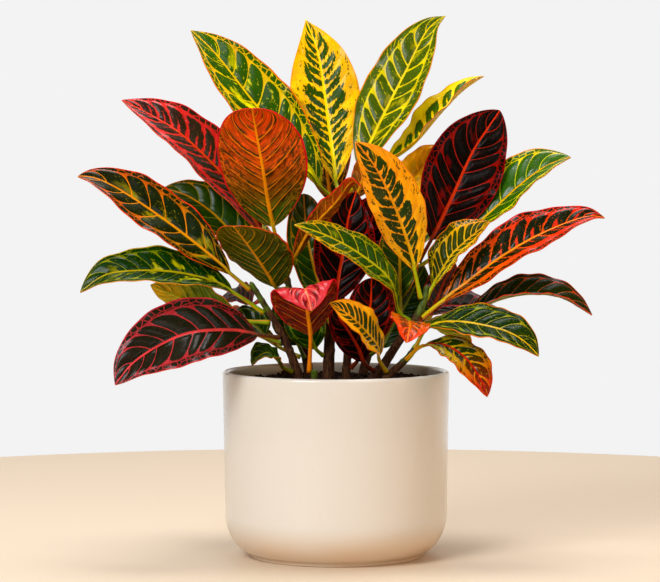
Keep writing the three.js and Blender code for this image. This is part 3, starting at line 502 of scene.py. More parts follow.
def young_bark():
    """Croton stem, grown: corky grey-brown low down, still green near the top, ringed by old leaf scars."""
    material, add, shader = new_material("croton stem, corky below and green above")
    length = add("ShaderNodeUVMap", [], uv_map="Stem")
    along = add("ShaderNodeSeparateXYZ", [length])
    place = add("ShaderNodeTexCoord", []).outputs["Object"]
    # Fissures run along the stem, 1.4 mm apart and 7 mm long, and patches of skin are 9 mm across.
    fibre = add("ShaderNodeMapping", {"Vector": place, "Scale": (700, 700, 150)})
    cork = add("ShaderNodeTexNoise", {"Vector": fibre, "Scale": 1.0, "Detail": 4.0})
    patches = add("ShaderNodeTexNoise", {"Vector": place, "Scale": 110.0, "Detail": 3.0})
    bark = add("ShaderNodeValToRGB", [cork], [(0.3, "#1a0b04"), (0.5, "#42210d"), (0.7, "#64401a")])
    skin = add("ShaderNodeValToRGB", [patches], [(0.35, "#2c3c08"), (0.5, "#3e520c"), (0.68, "#586c12")])
    ripe = add(MATH, [along.outputs["Y"], patches], operation="ADD")
    green = add(MAP, [ripe, 1.1, 1.45], interpolation_type="SMOOTHSTEP")
    colour = add(MIX, {0: green, 6: bark, 7: skin}, data_type="RGBA")
    scar = add(MAP, [along.outputs["X"], 0.55, 0.95])
    colour = add(MIX, {0: scar, 6: colour, 7: "#5a4028"}, data_type="RGBA")
    bump = add("ShaderNodeBump", {"Strength": 0.6, "Distance": 0.0005, "Height": cork})
    rough = add(MAP, {0: green, 3: 0.78, 4: 0.45})
    fill(material.node_tree, shader, {"Base Color": colour, "Roughness": rough, "Normal": bump,
        "Specular IOR Level": 0.2})
    return material


def leaf_face(title, look, spacing, back):
    """A croton leaf, grown: a waxed skin over cells of pigment, so its colour is deep and its shine soft.

    The pattern follows the veins: dark cells between the side veins, pale ground, thin vein lines, the midrib
    and a coloured margin. The back is duller, and its veins stand out."""
    material, add, shader = new_material(title)
    blade = add("ShaderNodeSeparateXYZ", [add("ShaderNodeUVMap", [], uv_map="Blade")])
    share = blade.outputs["Y"]
    side = add(MATH, [blade.outputs["X"], 2.0, -1.0], operation="MULTIPLY_ADD")
    reach = add(MATH, [side], operation="ABSOLUTE")
    veins = add("ShaderNodeSeparateXYZ", [add("ShaderNodeUVMap", [], uv_map="Veins")])
    count = veins.outputs["X"]
    across = add(MATH, [veins.outputs["Y"]], operation="ABSOLUTE")
    place = add("ShaderNodeTexCoord", []).outputs["Object"]
    # Torn outlines: 3 mm along the blade by 3 mm across. Streaks: 2 mm by 8 mm, along the side veins.
    # Mottling of the whole blade: 14 mm.
    torn_at = add("ShaderNodeCombineXYZ", [
        add(MATH, [count, 3.6], operation="MULTIPLY"),
        add(MATH, [veins.outputs["Y"], 0.3], operation="MULTIPLY")])
    torn = add("ShaderNodeTexNoise", {"Vector": torn_at, "Scale": 1.0, "Detail": 4.0, "Roughness": 0.65})
    streak_at = add("ShaderNodeCombineXYZ", [
        add(MATH, [count, 6.5], operation="MULTIPLY"),
        add(MATH, [veins.outputs["Y"], 0.13], operation="MULTIPLY"), 7.0])
    streaks = add("ShaderNodeTexNoise", {"Vector": streak_at, "Scale": 1.0, "Detail": 3.0})
    mottle = add("ShaderNodeTexNoise", {"Vector": place, "Scale": 70.0, "Detail": 3.0})

    # From 0 in the middle between two side veins to 1 on a vein.
    fraction = add(MATH, [count], operation="FRACT")
    off = add(MATH, [add(MATH, [fraction, 0.5], operation="SUBTRACT")], operation="ABSOLUTE")
    to_vein = add(MATH, [off, 2.0], operation="MULTIPLY")
    # A cell is a box with round corners. It starts a little early, so that it is still wide at the midrib.
    middle = (look.inner - 0.2 + look.outer) / 2
    half = look.outer - middle
    # On a lopsided blade the cells of one half end nearer the midrib.
    lopsided = add(MAP, [side, -0.02, 0.02, 1.0, 1.0 + look.lop])
    out = add(MATH, [reach, lopsided], operation="MULTIPLY")
    out = add(MATH, [add(MATH, [out, middle], operation="SUBTRACT")], operation="ABSOLUTE")
    out = add(MATH, [out, half], operation="DIVIDE")
    round_box = add(MATH, [add(MATH, [to_vein, look.square], operation="POWER"),
                           add(MATH, [out, look.square], operation="POWER")], operation="ADD")
    tear = add(MATH, [torn, -0.5], operation="ADD")
    outline = add(MATH, [tear, look.ragged * 2.2, round_box], operation="MULTIPLY_ADD")
    full = look.fill ** look.square
    cells = add(MAP, [outline, full + 0.05, full - 0.05], interpolation_type="SMOOTHSTEP")
    if look.split:
        wedge = add(MATH, [reach, 0.7, to_vein], operation="MULTIPLY_ADD")
        wedge = add(MATH, [tear, 0.9, wedge], operation="MULTIPLY_ADD")
        wedge = add(MAP, [wedge, 0.2 + 0.25 * look.split, 0.12 + 0.25 * look.split])
        whole = add(MATH, [1.0, wedge], operation="SUBTRACT")
        cells = add(MATH, [cells, whole], operation="MULTIPLY")
    # Small cells near the margin, 5 mm along by 4 mm across, in a fine net of veins with gaps in it.
    small_at = add("ShaderNodeCombineXYZ", [
        add(MATH, [share, TYPICAL_LENGTH / 5.0], operation="MULTIPLY"),
        add(MATH, [veins.outputs["Y"], 0.25], operation="MULTIPLY")])
    small = add("ShaderNodeTexVoronoi", {"Vector": small_at, "Scale": 1.0, "Randomness": 0.85},
                voronoi_dimensions="2D", feature="DISTANCE_TO_EDGE")
    small = add(MAP, [small.outputs["Distance"], 0.03 if back else 0.05, 0.07 if back else 0.1])
    gone = 0.66 - 0.3 * look.broken
    gone = add(MAP, [mottle, gone, gone + 0.04])
    small = add(MATH, [small, gone], operation="MAXIMUM")
    band = add(MAP, [reach, look.outer - 0.01, look.outer + 0.03])
    rim_cells = add(MATH, [small, band], operation="MULTIPLY")
    some = add(MAP, [torn, 0.72 - 0.5 * look.margin, 0.66 - 0.5 * look.margin, 1.0, 0.0])
    rim_cells = add(MATH, [rim_cells, some], operation="MULTIPLY")
    cells = add(MATH, [cells, rim_cells], operation="MAXIMUM")

    # The side veins' lines, half as wide far out, the midrib with the stalk, and the line along the margin.
    width = add(MAP, [reach, 0.0, 0.8, look.line * 1.25, look.line * 0.7])
    from_vein = add(MATH, [1.0, to_vein], operation="SUBTRACT")
    from_vein = add(MATH, [from_vein, spacing / 2], operation="MULTIPLY")
    line = add(MATH, [from_vein, width], operation="DIVIDE")
    line = add(MAP, [line, 1.3, 0.7], interpolation_type="SMOOTHSTEP")
    within = add(MAP, [reach, look.outer + 0.02, look.outer - 0.06])
    line = add(MATH, [line, within], operation="MULTIPLY")
    rib_width = add(MAP, [share, 0.0, 1.0, 1.7 if back else 1.6, 0.45])
    rib = add(MATH, [across, rib_width], operation="DIVIDE")
    rib = add(MAP, [rib, 1.25, 0.8], interpolation_type="SMOOTHSTEP")
    stalk = add(MAP, [share, 0.02, -0.02])
    rib = add(MATH, [rib, stalk], operation="MAXIMUM")
    edge = add(MAP, [reach, 0.945, 0.98], interpolation_type="SMOOTHSTEP")

    stops = (0.12, 0.5, 0.88)
    if back:
        colour = add("ShaderNodeValToRGB", [share], list(zip(stops, look.under)))
        # Dark streaks beside the side veins, and spots away from the midrib and the tip.
        dark = add(MAP, [streaks, 0.44, 0.54, 0.0, 0.95])
        beside = add(MAP, [to_vein, 0.3, 0.7, 0.4, 1.0])
        dark = add(MATH, [dark, beside], operation="MULTIPLY")
        spots = add(MAP, [torn, 0.47, 0.55, 0.0, 0.85])
        spots = add(MATH, [spots, add(MAP, [reach, 0.1, 0.5])], operation="MULTIPLY")
        spots = add(MATH, [spots, add(MAP, [share, 0.95, 0.6])], operation="MULTIPLY")
        dark = add(MATH, [dark, spots], operation="MAXIMUM")
        net = add(MAP, [small, 0.0, 1.0, 0.6, 0.0])
        net = add(MATH, [net, band], operation="MULTIPLY")
        line = add(MATH, [line, net], operation="MAXIMUM")
        ribs = add("ShaderNodeValToRGB", [share], [(0.0, look.stalk), (0.12, look.under_rib)])
        layers = [(dark, look.streak), (line, look.under_vein), (rib, ribs), (edge, look.under_edge)]
    else:
        colour = add("ShaderNodeValToRGB", [share], list(zip(stops, look.ground)))
        dark = add("ShaderNodeValToRGB", [share], list(zip(stops, look.cell)))
        # Yellow streaks inside the cells, and specks 3 mm apart and half a millimetre to 1 mm across.
        high = 0.74 - 0.12 * look.flecks
        fleck = add(MAP, [streaks, high, high + 0.05, 0.0, min(1.0, look.flecks * 1.3)])
        dots = add("ShaderNodeTexVoronoi", {"Vector": place, "Scale": 380.0})
        dots = add(MAP, [dots.outputs["Distance"], 0.2, 0.12, 0.0, look.flecks * 0.7])
        fleck = add(MATH, [fleck, dots], operation="MAXIMUM")
        if look.blotch:
            # Pale patches a cell wide and 20 mm long, with little dark pigment, most of them near the midrib.
            patch_at = add("ShaderNodeCombineXYZ", [
                add(MATH, [count, 0.8], operation="MULTIPLY"),
                add(MATH, [veins.outputs["Y"], 0.05], operation="MULTIPLY"), 3.0])
            patch = add("ShaderNodeTexNoise", {"Vector": patch_at, "Scale": 1.0, "Detail": 2.0})
            patch = add(MATH, [torn, 0.35, patch], operation="MULTIPLY_ADD")
            patch = add(MATH, [reach, -0.16, patch], operation="MULTIPLY_ADD")
            patch = add(MAP, [patch, 0.7, 0.78, 0.0, look.blotch])
            patch = add(MATH, [patch, add(MAP, [share, 0.85, 0.65])], operation="MULTIPLY")
            fleck = add(MATH, [fleck, patch], operation="MAXIMUM")
        fleck = add(MATH, [fleck, cells], operation="MULTIPLY")
        # A vein takes on the margin's colour on its way out.
        outward = add(MAP, [reach, 0.4, 0.95, 0.0, 0.6])
        veined = add(MIX, {0: outward, 6: look.vein, 7: look.edge}, data_type="RGBA")
        ribs = add("ShaderNodeValToRGB", [share],
                   [(0.0, look.stalk), (0.1, look.rib[0]), (0.8, look.rib[1])])
        layers = [(cells, dark), (fleck, look.fleck), (line, veined), (rib, ribs), (edge, look.edge)]
    # Each layer of colour covers those before it where its mask is 1.
    for mask, paint in layers:
        colour = add(MIX, {0: mask, 6: colour, 7: paint}, data_type="RGBA")
    bright = add(MAP, [mottle, 0.3, 0.7, 0.84, 1.16])
    colour = add("ShaderNodeHueSaturation", {"Color": colour, "Value": bright, "Saturation": look.rich})
    rough = add(MAP, [mottle, 0.3, 0.7, 0.42 if back else 0.2, 0.56 if back else 0.32])
    raised = add(MATH, [line, 1.5 if back else -0.6, torn], operation="MULTIPLY_ADD")
    bump = add("ShaderNodeBump", {"Strength": 0.35, "Distance": 0.0004, "Height": raised})
    fill(material.node_tree, shader, {"Base Color": colour, "Roughness": rough, "Normal": bump, "IOR": 1.4,
        "Subsurface Weight": 0.35, "Subsurface Radius": (1.0, 0.8, 0.2), "Subsurface Scale": 0.0012,
        "Specular IOR Level": 0.15 if back else look.gloss, "Coat Weight": 0.02 if back else look.gloss / 6,
        "Coat Roughness": 0.12})
    return material


def spine_through(points):
    """A smooth line through points: its samples and their lengths along it."""
    points = [np.array(point, float) for point in points]
    points = [2 * points[0] - points[1], *points, 2 * points[-1] - points[-2]]
    samples = []
    # Cubic pieces, timed by the root of the distance from point to point, so that the line doesn't overshoot.
    for p0, p1, p2, p3 in zip(points, points[1:], points[2:], points[3:]):
        d0, d1, d2 = (np.linalg.norm(b - a) ** 0.5 for a, b in ((p0, p1), (p1, p2), (p2, p3)))
        m1 = ((p1 - p0) / d0 - (p2 - p0) / (d0 + d1) + (p2 - p1) / d1) * d1
        m2 = ((p2 - p1) / d1 - (p3 - p1) / (d1 + d2) + (p3 - p2) / d2) * d1
        for w in np.arange(SPINE_STEPS) / SPINE_STEPS:
            samples.append(p1 + m1 * w + (3 * (p2 - p1) - 2 * m1 - m2) * w**2
                           + (2 * (p1 - p2) + m1 + m2) * w**3)
    samples = np.array([*samples, points[-2]])
    lengths = np.concatenate([[0], np.cumsum(np.linalg.norm(np.diff(samples, axis=0), axis=1))])
    return samples, lengths


def along_spine(spine, wanted):
    """Points and directions at lengths along a line."""
    samples, lengths = spine
    slopes = np.gradient(samples, lengths, axis=0)
    points = np.stack([np.interp(wanted, lengths, samples[:, k]) for k in range(3)], axis=-1)
    slopes = np.stack([np.interp(wanted, lengths, slopes[:, k]) for k in range(3)], axis=-1)
    return points, slopes / np.linalg.norm(slopes, axis=-1, keepdims=True)


def square_to(direction, along):
    """The part of a direction that is square to another, as a unit vector."""
    rest = direction - along * np.sum(direction * along, axis=-1, keepdims=True)
    return rest / np.linalg.norm(rest, axis=-1, keepdims=True)


def soft_step(low, high, value):
    share = np.clip((value - low) / (high - low), 0, 1)
    return share * share * (3 - 2 * share)


def stem_spine(name):
    route = STEMS[name].route
    return spine_through([(route[0][0], route[0][1], ROOT_FOOT), *route])


def stem_at(name, height):
    """Where a stem's axis passes a height: its point, direction and radius there."""
    _, lengths = spine = stem_spine(name)
    foot, top = STEMS[name].radii
    wanted = np.arange(0, lengths[-1] + 0.5, 0.5).clip(0, lengths[-1])
    points, along = along_spine(spine, wanted)
    i = int(np.argmax(points[:, 2] >= height)) if points[-1, 2] >= height else len(wanted) - 1
    return points[i], along[i], foot + (top - foot) * wanted[i] / lengths[-1]


def mesh_of(bm, name):
    """Turns a bmesh into a mesh, and frees it."""
    mesh = bpy.data.meshes.new(name)
    bm.to_mesh(mesh)
    bm.free()
    return mesh


def spun(profile, steps):
    """A bmesh spun about the pot's axis from radii and heights."""
    bm = bmesh.new()
    line = [bm.verts.new((radius, 0, height)) for radius, height in profile]
    edges = [bm.edges.new(pair) for pair in zip(line, line[1:])]
    bmesh.ops.spin(bm, geom=line + edges, cent=(0, 0, 0), axis=(0, 0, 1), angle=2 * math.pi, steps=steps,
                   use_merge=True)
    bmesh.ops.remove_doubles(bm, verts=bm.verts[:], dist=1e-5)
    return bm


def smooth_outward(bm):
    """Turns every face outward and shades it smooth."""
    bmesh.ops.recalc_face_normals(bm, faces=bm.faces[:])
    for face in bm.faces:
        face.smooth = True


def read(items, name, kind=float, size=1):
    """One value of every vertex, corner or face, as an array."""
    values = np.empty(len(items) * size, kind)
    items.foreach_get(name, values)
    return values


def add_uv_map(mesh, name, values):
    """Writes a UV map, a row of values for each corner."""
    mesh.uv_layers.new(name=name).data.foreach_set("uv", np.stack(values, axis=-1).ravel())


def flat_shell(columns, rows, thickness):
    """A flat closed sheet, from -1 to 1 both ways, ready to be shaped."""
    bm = bmesh.new()
    bmesh.ops.create_grid(bm, x_segments=columns, y_segments=rows, size=1)
    bmesh.ops.solidify(bm, geom=bm.verts[:] + bm.edges[:] + bm.faces[:], thickness=thickness)
    bmesh.ops.recalc_face_normals(bm, faces=bm.faces[:])
    return mesh_of(bm, "flat shell")


def add_piece(name, mesh, node, materials):
    """Links a finished mesh as a piece that rides on the root body and stands for a CAD node."""
    piece = bpy.data.objects.new(name, mesh)
    bpy.context.scene.collection.objects.link(piece)
    for material in materials:
        mesh.materials.append(material)
    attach(piece, "root")
    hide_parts(node)
    return piece


def shape_leaf(flat, leaf, order, sizes):
    """Shapes the flat shell into a leaf: a round stalk that widens into a folded, waved and quilted blade."""
    mesh = flat.copy()
    x, y, z = read(mesh.vertices, "co", size=3).reshape(-1, 3).T
    top = z > np.mean(z)
    row = (y + 1) / 2 * (STALK_ROWS + BLADE_ROWS)
    step = np.abs(x) * HALF_COLUMNS
    # Columns stand close at the midrib and at the margin.
    out = np.where(step > HALF_COLUMNS - 0.5, 1.0, 0.985 * (step / (HALF_COLUMNS - 1)) ** 1.4)
    side = np.sign(x)

    start = np.array(leaf.route[0], float)
    carrier, carrier_along, carrier_radius = stem_at(leaf.stem, leaf.height)
    outward = square_to(start - carrier, carrier_along)
    foot = carrier + outward * (carrier_radius + STALK_CLEARANCE)
    spine = spine_through([foot, *leaf.route])
    first, total = spine[1][SPINE_STEPS], spine[1][-1]
    blade_length = total - first
    length = np.where(row < STALK_ROWS, row / STALK_ROWS * first,
                      first + (row - STALK_ROWS) / BLADE_ROWS * blade_length)
    share = (length - first) / blade_length
    blade = np.clip(share, 0, 1)
    points, along = along_spine(spine, length)
    _, middle = along_spine(spine, np.array([first + blade_length / 2]))
    across = np.cross(middle[0], np.array(leaf.face, float))
    right = square_to(np.broadcast_to(across / np.linalg.norm(across), points.shape), along)
    upper = np.cross(right, along)

    # The outline, and a rib that runs on from the round stalk.
    broadest, taper = leaf.broadest, leaf.taper
    rise = taper * broadest / (1 - broadest)
    most = broadest**rise * (1 - broadest) ** taper
    half = leaf.width / 2 * blade**rise * (1 - blade) ** taper / most
    rib = np.where(share < 0, 1.5 + 0.6 * (-share * blade_length / first) ** 3,
                   0.35 + 1.15 * (1 - blade) ** 1.2)
    wide = np.where(blade < broadest, (half**3 + rib**3) ** (1 / 3), np.maximum(half, 0.4))
    # From 0 on the stalk to 1 on the blade.
    flatness = soft_step(0.0, 4.0, half - rib)
    flatness = np.where(blade > broadest, 1.0, flatness)
    fold = math.radians(leaf.fold) * flatness
    beside = side * out * wide * np.cos(fold)

    # A short blade has fewer side veins, but they stand closer.
    spacing = math.sqrt(blade_length * TYPICAL_LENGTH) / sizes.side_veins / leaf.veins
    lean = leaf.width / 2 / math.tan(VEIN_LEAN) / spacing
    passed = blade_length / spacing * share - lean * out**1.35

    def vein_count(passed, sides):
        """Side veins passed on the way along, unevenly spaced. Each leaf starts at a number of its own."""
        number = passed + 0.14 * np.sin(passed * 1.9 + order + sides)
        return number + np.where(sides > 0, HALF_AHEAD, 0.0) + 30 + 17 * order

    veins = vein_count(passed, side)
    # The blade swells between its side veins, but not at the midrib, at the margin or where it is narrow.
    quilt = np.abs(np.sin(np.pi * veins)) ** 0.75
    window = soft_step(0.03, 0.16, out) * (1 - soft_step(0.62, 0.86, out)) * flatness
    quilt = sizes.quilt / MM * quilt * window * np.minimum(1, half / 18)
    # Slow waves of both halves, and a frill that only the margin has.
    body = np.sin(np.pi * blade)
    wave = leaf.wave * body * np.sin(2 * np.pi * WAVES * blade + order * PHASE_STEP + side)
    frill = sizes.edge_wave / MM * body * np.sin(2 * np.pi * SMALL_WAVES * blade + order + 2 * side)
    lift = half * np.sin(fold) * out**1.2 + (wave * out**1.6 + frill * out**4) * flatness + quilt
    # Half the thickness of the blade, the round midrib, and the side veins' ridges on the back.
    plate = (0.1 + (sizes.blade_thickness / MM / 2 - 0.1) * flatness) * (1 - 0.35 * out**6)
    dome = np.sqrt(np.clip(rib**2 - (out * wide) ** 2, 0, None))
    ridge = 0.28 * np.exp(-((np.abs((veins + 0.5) % 1 - 0.5) * spacing / 0.8) ** 2)) * window
    height = np.where(top, lift + np.maximum(plate, dome * (1 - 0.72 * flatness)),
                      lift - np.maximum(plate, dome * (1 - 0.1 * flatness)) - ridge)
    shaped = points + right * beside[:, None] + upper * height[:, None]
    mesh.vertices.foreach_set("co", (shaped * MM).ravel())

    # Each face takes the vein count of its own half, also where it touches the midrib.
    vertex = read(mesh.loops, "vertex_index", int)
    faces = len(mesh.polygons)
    corners_of = np.diff(np.append(read(mesh.polygons, "loop_start", int), len(vertex)))
    face_of = np.repeat(np.arange(faces), corners_of)
    middle_x = np.bincount(face_of, x[vertex]) / corners_of
    middle_z = np.bincount(face_of, z[vertex]) / corners_of
    number = vein_count(passed[vertex], np.sign(middle_x)[face_of])
    add_uv_map(mesh, "Blade", [(side * out + 1)[vertex] / 2, share[vertex]])
    add_uv_map(mesh, "Veins", [number, (side * out * wide)[vertex]])
    mesh.polygons.foreach_set("material_index", (middle_z < np.max(z) - 1e-9).astype(int))
    mesh.polygons.foreach_set("use_smooth", np.ones(faces, bool))
    mesh.update()
    return mesh


def metres(name, description, default):
    """A setting for a length in metres."""
    return FloatProperty(name=name, description=description, default=default, subtype="DISTANCE")


def shade(name, description, code):
    """A setting for a colour."""
    return FloatVectorProperty(name=name, description=description, subtype="COLOR", min=0, max=1,
                               default=linear(code, alpha=False))


class CrotonPot(bpy.types.PropertyGroup):
    height: metres("Height", "Height of the pot", 0.1485)
    lip_radius: metres("Lip radius", "Outer radius at the lip", 0.0909)
    waist_radius: metres("Waist radius", "Outer radius above the round lower corner", 0.0892)
    wall: metres("Wall", "Thickness of the wall", 0.005)
    floor: metres("Floor", "Thickness of the floor", 0.009)
    foot_radius: metres("Foot radius", "Radius of the flat foot", 0.0696)
    foot_height: metres("Foot height", "Height of the short foot", 0.0046)
    glaze: shade("Glaze", "Colour of the glaze", "#ddd6cc")
    # Painted shade and warm reflection of the table, low down on the glaze.
    shaded_low_glaze: shade("Low glaze shade", "Colour of the glaze low down, with painted shade and warm reflection", "#dcb487")


class CrotonSoil(bpy.types.PropertyGroup):
    crumbs: IntProperty(name="Crumbs", description="Loose crumbs on the soil", default=650, min=0)
    lump_height: metres("Lump height", "Height of the soil's lumps", 0.0022)


class CrotonLeaves(bpy.types.PropertyGroup):
    side_veins: FloatProperty(name="Side veins", description="Side veins on each half of a blade",
                              default=11.0, min=3.0)
    quilt: metres("Quilt", "How far the blade swells between its side veins", 0.0013)
    edge_wave: metres("Edge wave", "Height of the small waves along the margin", 0.0007)
    blade_thickness: metres("Blade thickness", "Thickness of the blade", 0.0009)


class CrotonStage(bpy.types.PropertyGroup):
    distance: metres("Camera distance", "From the pot's axis to the camera", 2.2)
    eye_height: metres("Camera height", "Height of the camera", 0.321)
    lens: FloatProperty(name="Lens", description="Focal length on a 36 mm sensor, in millimetres",
                        default=150.2)
    floor_radius: metres("Floor radius", "Radius of the round floor", 0.8)
    floor_colour: shade("Floor", "Colour of the plain floor", "#e0cdb4")


class CROTON_OT_pot(bpy.types.Operator):
    """Spin the glazed pot from its profile"""
    bl_idname = "croton.make_pot"
    bl_label = "Make Pot"

    def execute(self, context):
        pot = context.scene.croton_pot
        middle, up = pot.waist_radius - CORNER_RADIUS, CORNER_HEIGHT

        def corner(across, rise, sweep):
            steps = 22
            return [(middle + across * math.cos(a), up - rise * math.sin(a))
                    for a in (sweep * (1 - i / steps) for i in range(steps + 1))]

        outside = corner(CORNER_RADIUS, up, math.asin(1 - pot.foot_height / up))
        inside = corner(CORNER_RADIUS - pot.wall, up - pot.floor, math.pi / 2)
        lip = []
        for i in range(15):
            angle = math.pi * i / 14
            lip.append((pot.lip_radius - pot.wall / 2 * (1 - math.cos(angle)),
                        pot.height - pot.wall / 2 * (1 - math.sin(angle))))
        foot = [(pot.foot_radius - 0.0012, 0.0), (pot.foot_radius - 0.0004, 0.0004),
                (pot.foot_radius, 0.0012), (pot.foot_radius, pot.foot_height - 0.0012)]
        wall_up = [(pot.waist_radius + (pot.lip_radius - pot.waist_radius) * (i / 8) ** 1.6,
                    up + (pot.height - pot.wall / 2 - up) * i / 8) for i in range(1, 8)]
        wall_down = [(pot.lip_radius - pot.wall + (pot.waist_radius - pot.lip_radius) * i / 8,
                      pot.height - pot.wall / 2 + (up - pot.height + pot.wall / 2) * i / 8)
                     for i in range(1, 8)]
        profile = [(0.0, 0.0), *foot, *outside, *wall_up, *lip, *wall_down, *inside[::-1], (0.0, pot.floor)]
        bm = spun(profile, 160)
        smooth_outward(bm)
        mesh = mesh_of(bm, "plant pot")
        add_piece("plant_pot", mesh, "pot", [glazed_stoneware(pot)])
        return {"FINISHED"}


class CROTON_OT_soil(bpy.types.Operator):
    """Fill the pot with lumpy soil and scatter crumbs on it"""
    bl_idname = "croton.make_soil"
    bl_label = "Make Soil"

    def execute(self, context):
        soil = context.scene.croton_soil
        pot = context.scene.croton_pot
        wall = pot.waist_radius - pot.wall - SOIL_GAP
        middle, up = pot.waist_radius - CORNER_RADIUS, CORNER_HEIGHT
        across, rise = CORNER_RADIUS - pot.wall - SOIL_GAP, up - pot.floor - SOIL_GAP
        profile = [(0.0, pot.floor + SOIL_GAP)]
        profile += [(middle + across * math.cos(a), up - rise * math.sin(a))
                    for a in (math.pi / 2 * (1 - i / 12) for i in range(13))]
        rings = 64
        for i in range(rings + 1):
            share = i / rings
            profile.append((wall * (1 - share), SOIL_EDGE + SOIL_CROWN * math.sin(share * math.pi / 2)))
        bm = spun(profile, 200)

        def surface(x, y):
            """Height of the soil's lumpy face."""
            distance = math.hypot(x, y)
            share = max(0.0, 1 - distance / wall)
            # Hills come every 40 to 60 mm, and the lumps on them every 4 mm.
            hills = 0.0009 * (math.sin(x / 0.007) * math.cos(y / 0.009) + math.sin((x + y) / 0.013))
            lumps = noise.fractal(Vector((x, y, 0.3)) * 240, 0.8, 2.2, 4) * soil.lump_height
            still = min(1.0, (wall - distance) / 0.002)
            return SOIL_EDGE + SOIL_CROWN * math.sin(share * math.pi / 2) + hills + lumps * max(0.0, still)

        for vertex in bm.verts:
            if vertex.co.z > SOIL_EDGE - 0.0005:
                vertex.co.z = surface(vertex.co.x, vertex.co.y)
        bmesh.ops.recalc_face_normals(bm, faces=bm.faces[:])
        # Loose crumbs of bark, 1 to 6 mm across, the same ones each run.
        dice = random.Random(7)
        for _ in range(soil.crumbs):
            angle, distance = dice.uniform(0, 2 * math.pi), (wall - 0.004) * math.sqrt(dice.random())
            x, y = distance * math.cos(angle), distance * math.sin(angle)
            size = dice.uniform(0.0008, 0.0026)
            made = bmesh.ops.create_icosphere(bm, subdivisions=1, radius=size)
            for vertex in made["verts"]:
                vertex.co *= dice.uniform(0.7, 1.25)
                vertex.co.z *= 0.7
            bmesh.ops.translate(bm, verts=made["verts"], vec=(x, y, surface(x, y) + size * 0.2))
        add_piece("potting_soil", mesh_of(bm, "potting soil"), "soil", [potting_mix()])
        return {"FINISHED"}


class CROTON_OT_stems(bpy.types.Operator):
    """Grow the woody stems with their nodes and leaf scars"""
    bl_idname = "croton.make_stems"
    bl_label = "Make Stems"

    def execute(self, context):
        bark = young_bark()
        for order, (name, stem) in enumerate(STEMS.items()):
            spine = stem_spine(name)
            total = spine[1][-1]
            bm = bmesh.new()
            bmesh.ops.create_grid(bm, x_segments=STEM_COLUMNS, y_segments=STEM_ROWS, size=1)
            mesh = mesh_of(bm, name.replace("stem", "woody stem"))
            x, y, _ = read(mesh.vertices, "co", size=3).reshape(-1, 3).T
            share, angle = (y + 1) / 2, (x + 1) * np.pi
            points, along = along_spine(spine, share * total)
            right = square_to(np.broadcast_to(np.array([1.0, 0, 0]), points.shape), along)
            back = np.cross(along, right)
            foot, top = stem.radii
            # Leaf scars, each on one side and 2.4 rad on from the last.
            turn = share * total / SCAR_SPACING
            near = np.exp(-(((turn + order * 0.37) % 1 - 0.5) / 0.13) ** 2)
            facing = 0.5 + 0.5 * np.cos(angle - np.floor(turn + order * 0.37) * 2.4)
            scar = near * facing**1.5
            grain = np.array([
                noise.fractal(Vector((math.cos(a) * 3, math.sin(a) * 3, s * 9 + order * 5)), 1, 2, 3)
                for a, s in zip(angle % (2 * np.pi), share)])
            radius = (foot + (top - foot) * share) * (1 + 0.03 * grain) + 0.65 * scar
            closing = np.sqrt(np.clip(1 - soft_step(0.965, 1.0, share) ** 2, 0, None))
            closing = np.where((share < 1e-6) | (share > 1 - 1e-6), 0, closing)
            spread = (radius * closing)[:, None]
            shaped = points + right * spread * np.cos(angle)[:, None] + back * spread * np.sin(angle)[:, None]
            mesh.vertices.foreach_set("co", (shaped * MM).ravel())
            vertex = read(mesh.loops, "vertex_index", int)
            add_uv_map(mesh, "Stem", [scar[vertex], share[vertex]])
            bm = bmesh.new()
            bm.from_mesh(mesh)
            bmesh.ops.remove_doubles(bm, verts=bm.verts[:], dist=1e-6)
            smooth_outward(bm)
            bm.to_mesh(mesh)
            bm.free()
            add_piece(name.replace("stem", "woody_stem"), mesh, name, [bark])
        return {"FINISHED"}


class CROTON_OT_leaves(bpy.types.Operator):
    """Grow every leaf, each with the pattern and colours of its own kind"""
    bl_idname = "croton.make_leaves"
    bl_label = "Make Leaves"

    def execute(self, context):
        sizes = context.scene.croton_leaves
        # Typical spacing of the side veins, in millimetres.
        spacing = TYPICAL_LENGTH / sizes.side_veins
        faces = {}
        for name, look in LOOKS.items():
            plain = name.replace("_", " ")
            faces[name] = [leaf_face(f"croton leaf, waxy face, {plain}", look, spacing, back=False),
                           leaf_face(f"croton leaf, dull back, {plain}", look, spacing, back=True)]
        flat = flat_shell(2 * HALF_COLUMNS, STALK_ROWS + BLADE_ROWS, 0.02)
        for order, (name, leaf) in enumerate(LEAVES.items()):
            mesh = shape_leaf(flat, leaf, order, sizes)
            mesh.name = name.replace("_", " blade ")
            add_piece(name.replace("leaf", "croton_leaf"), mesh, name, faces[leaf.look])
        bpy.data.meshes.remove(flat)
        return {"FINISHED"}


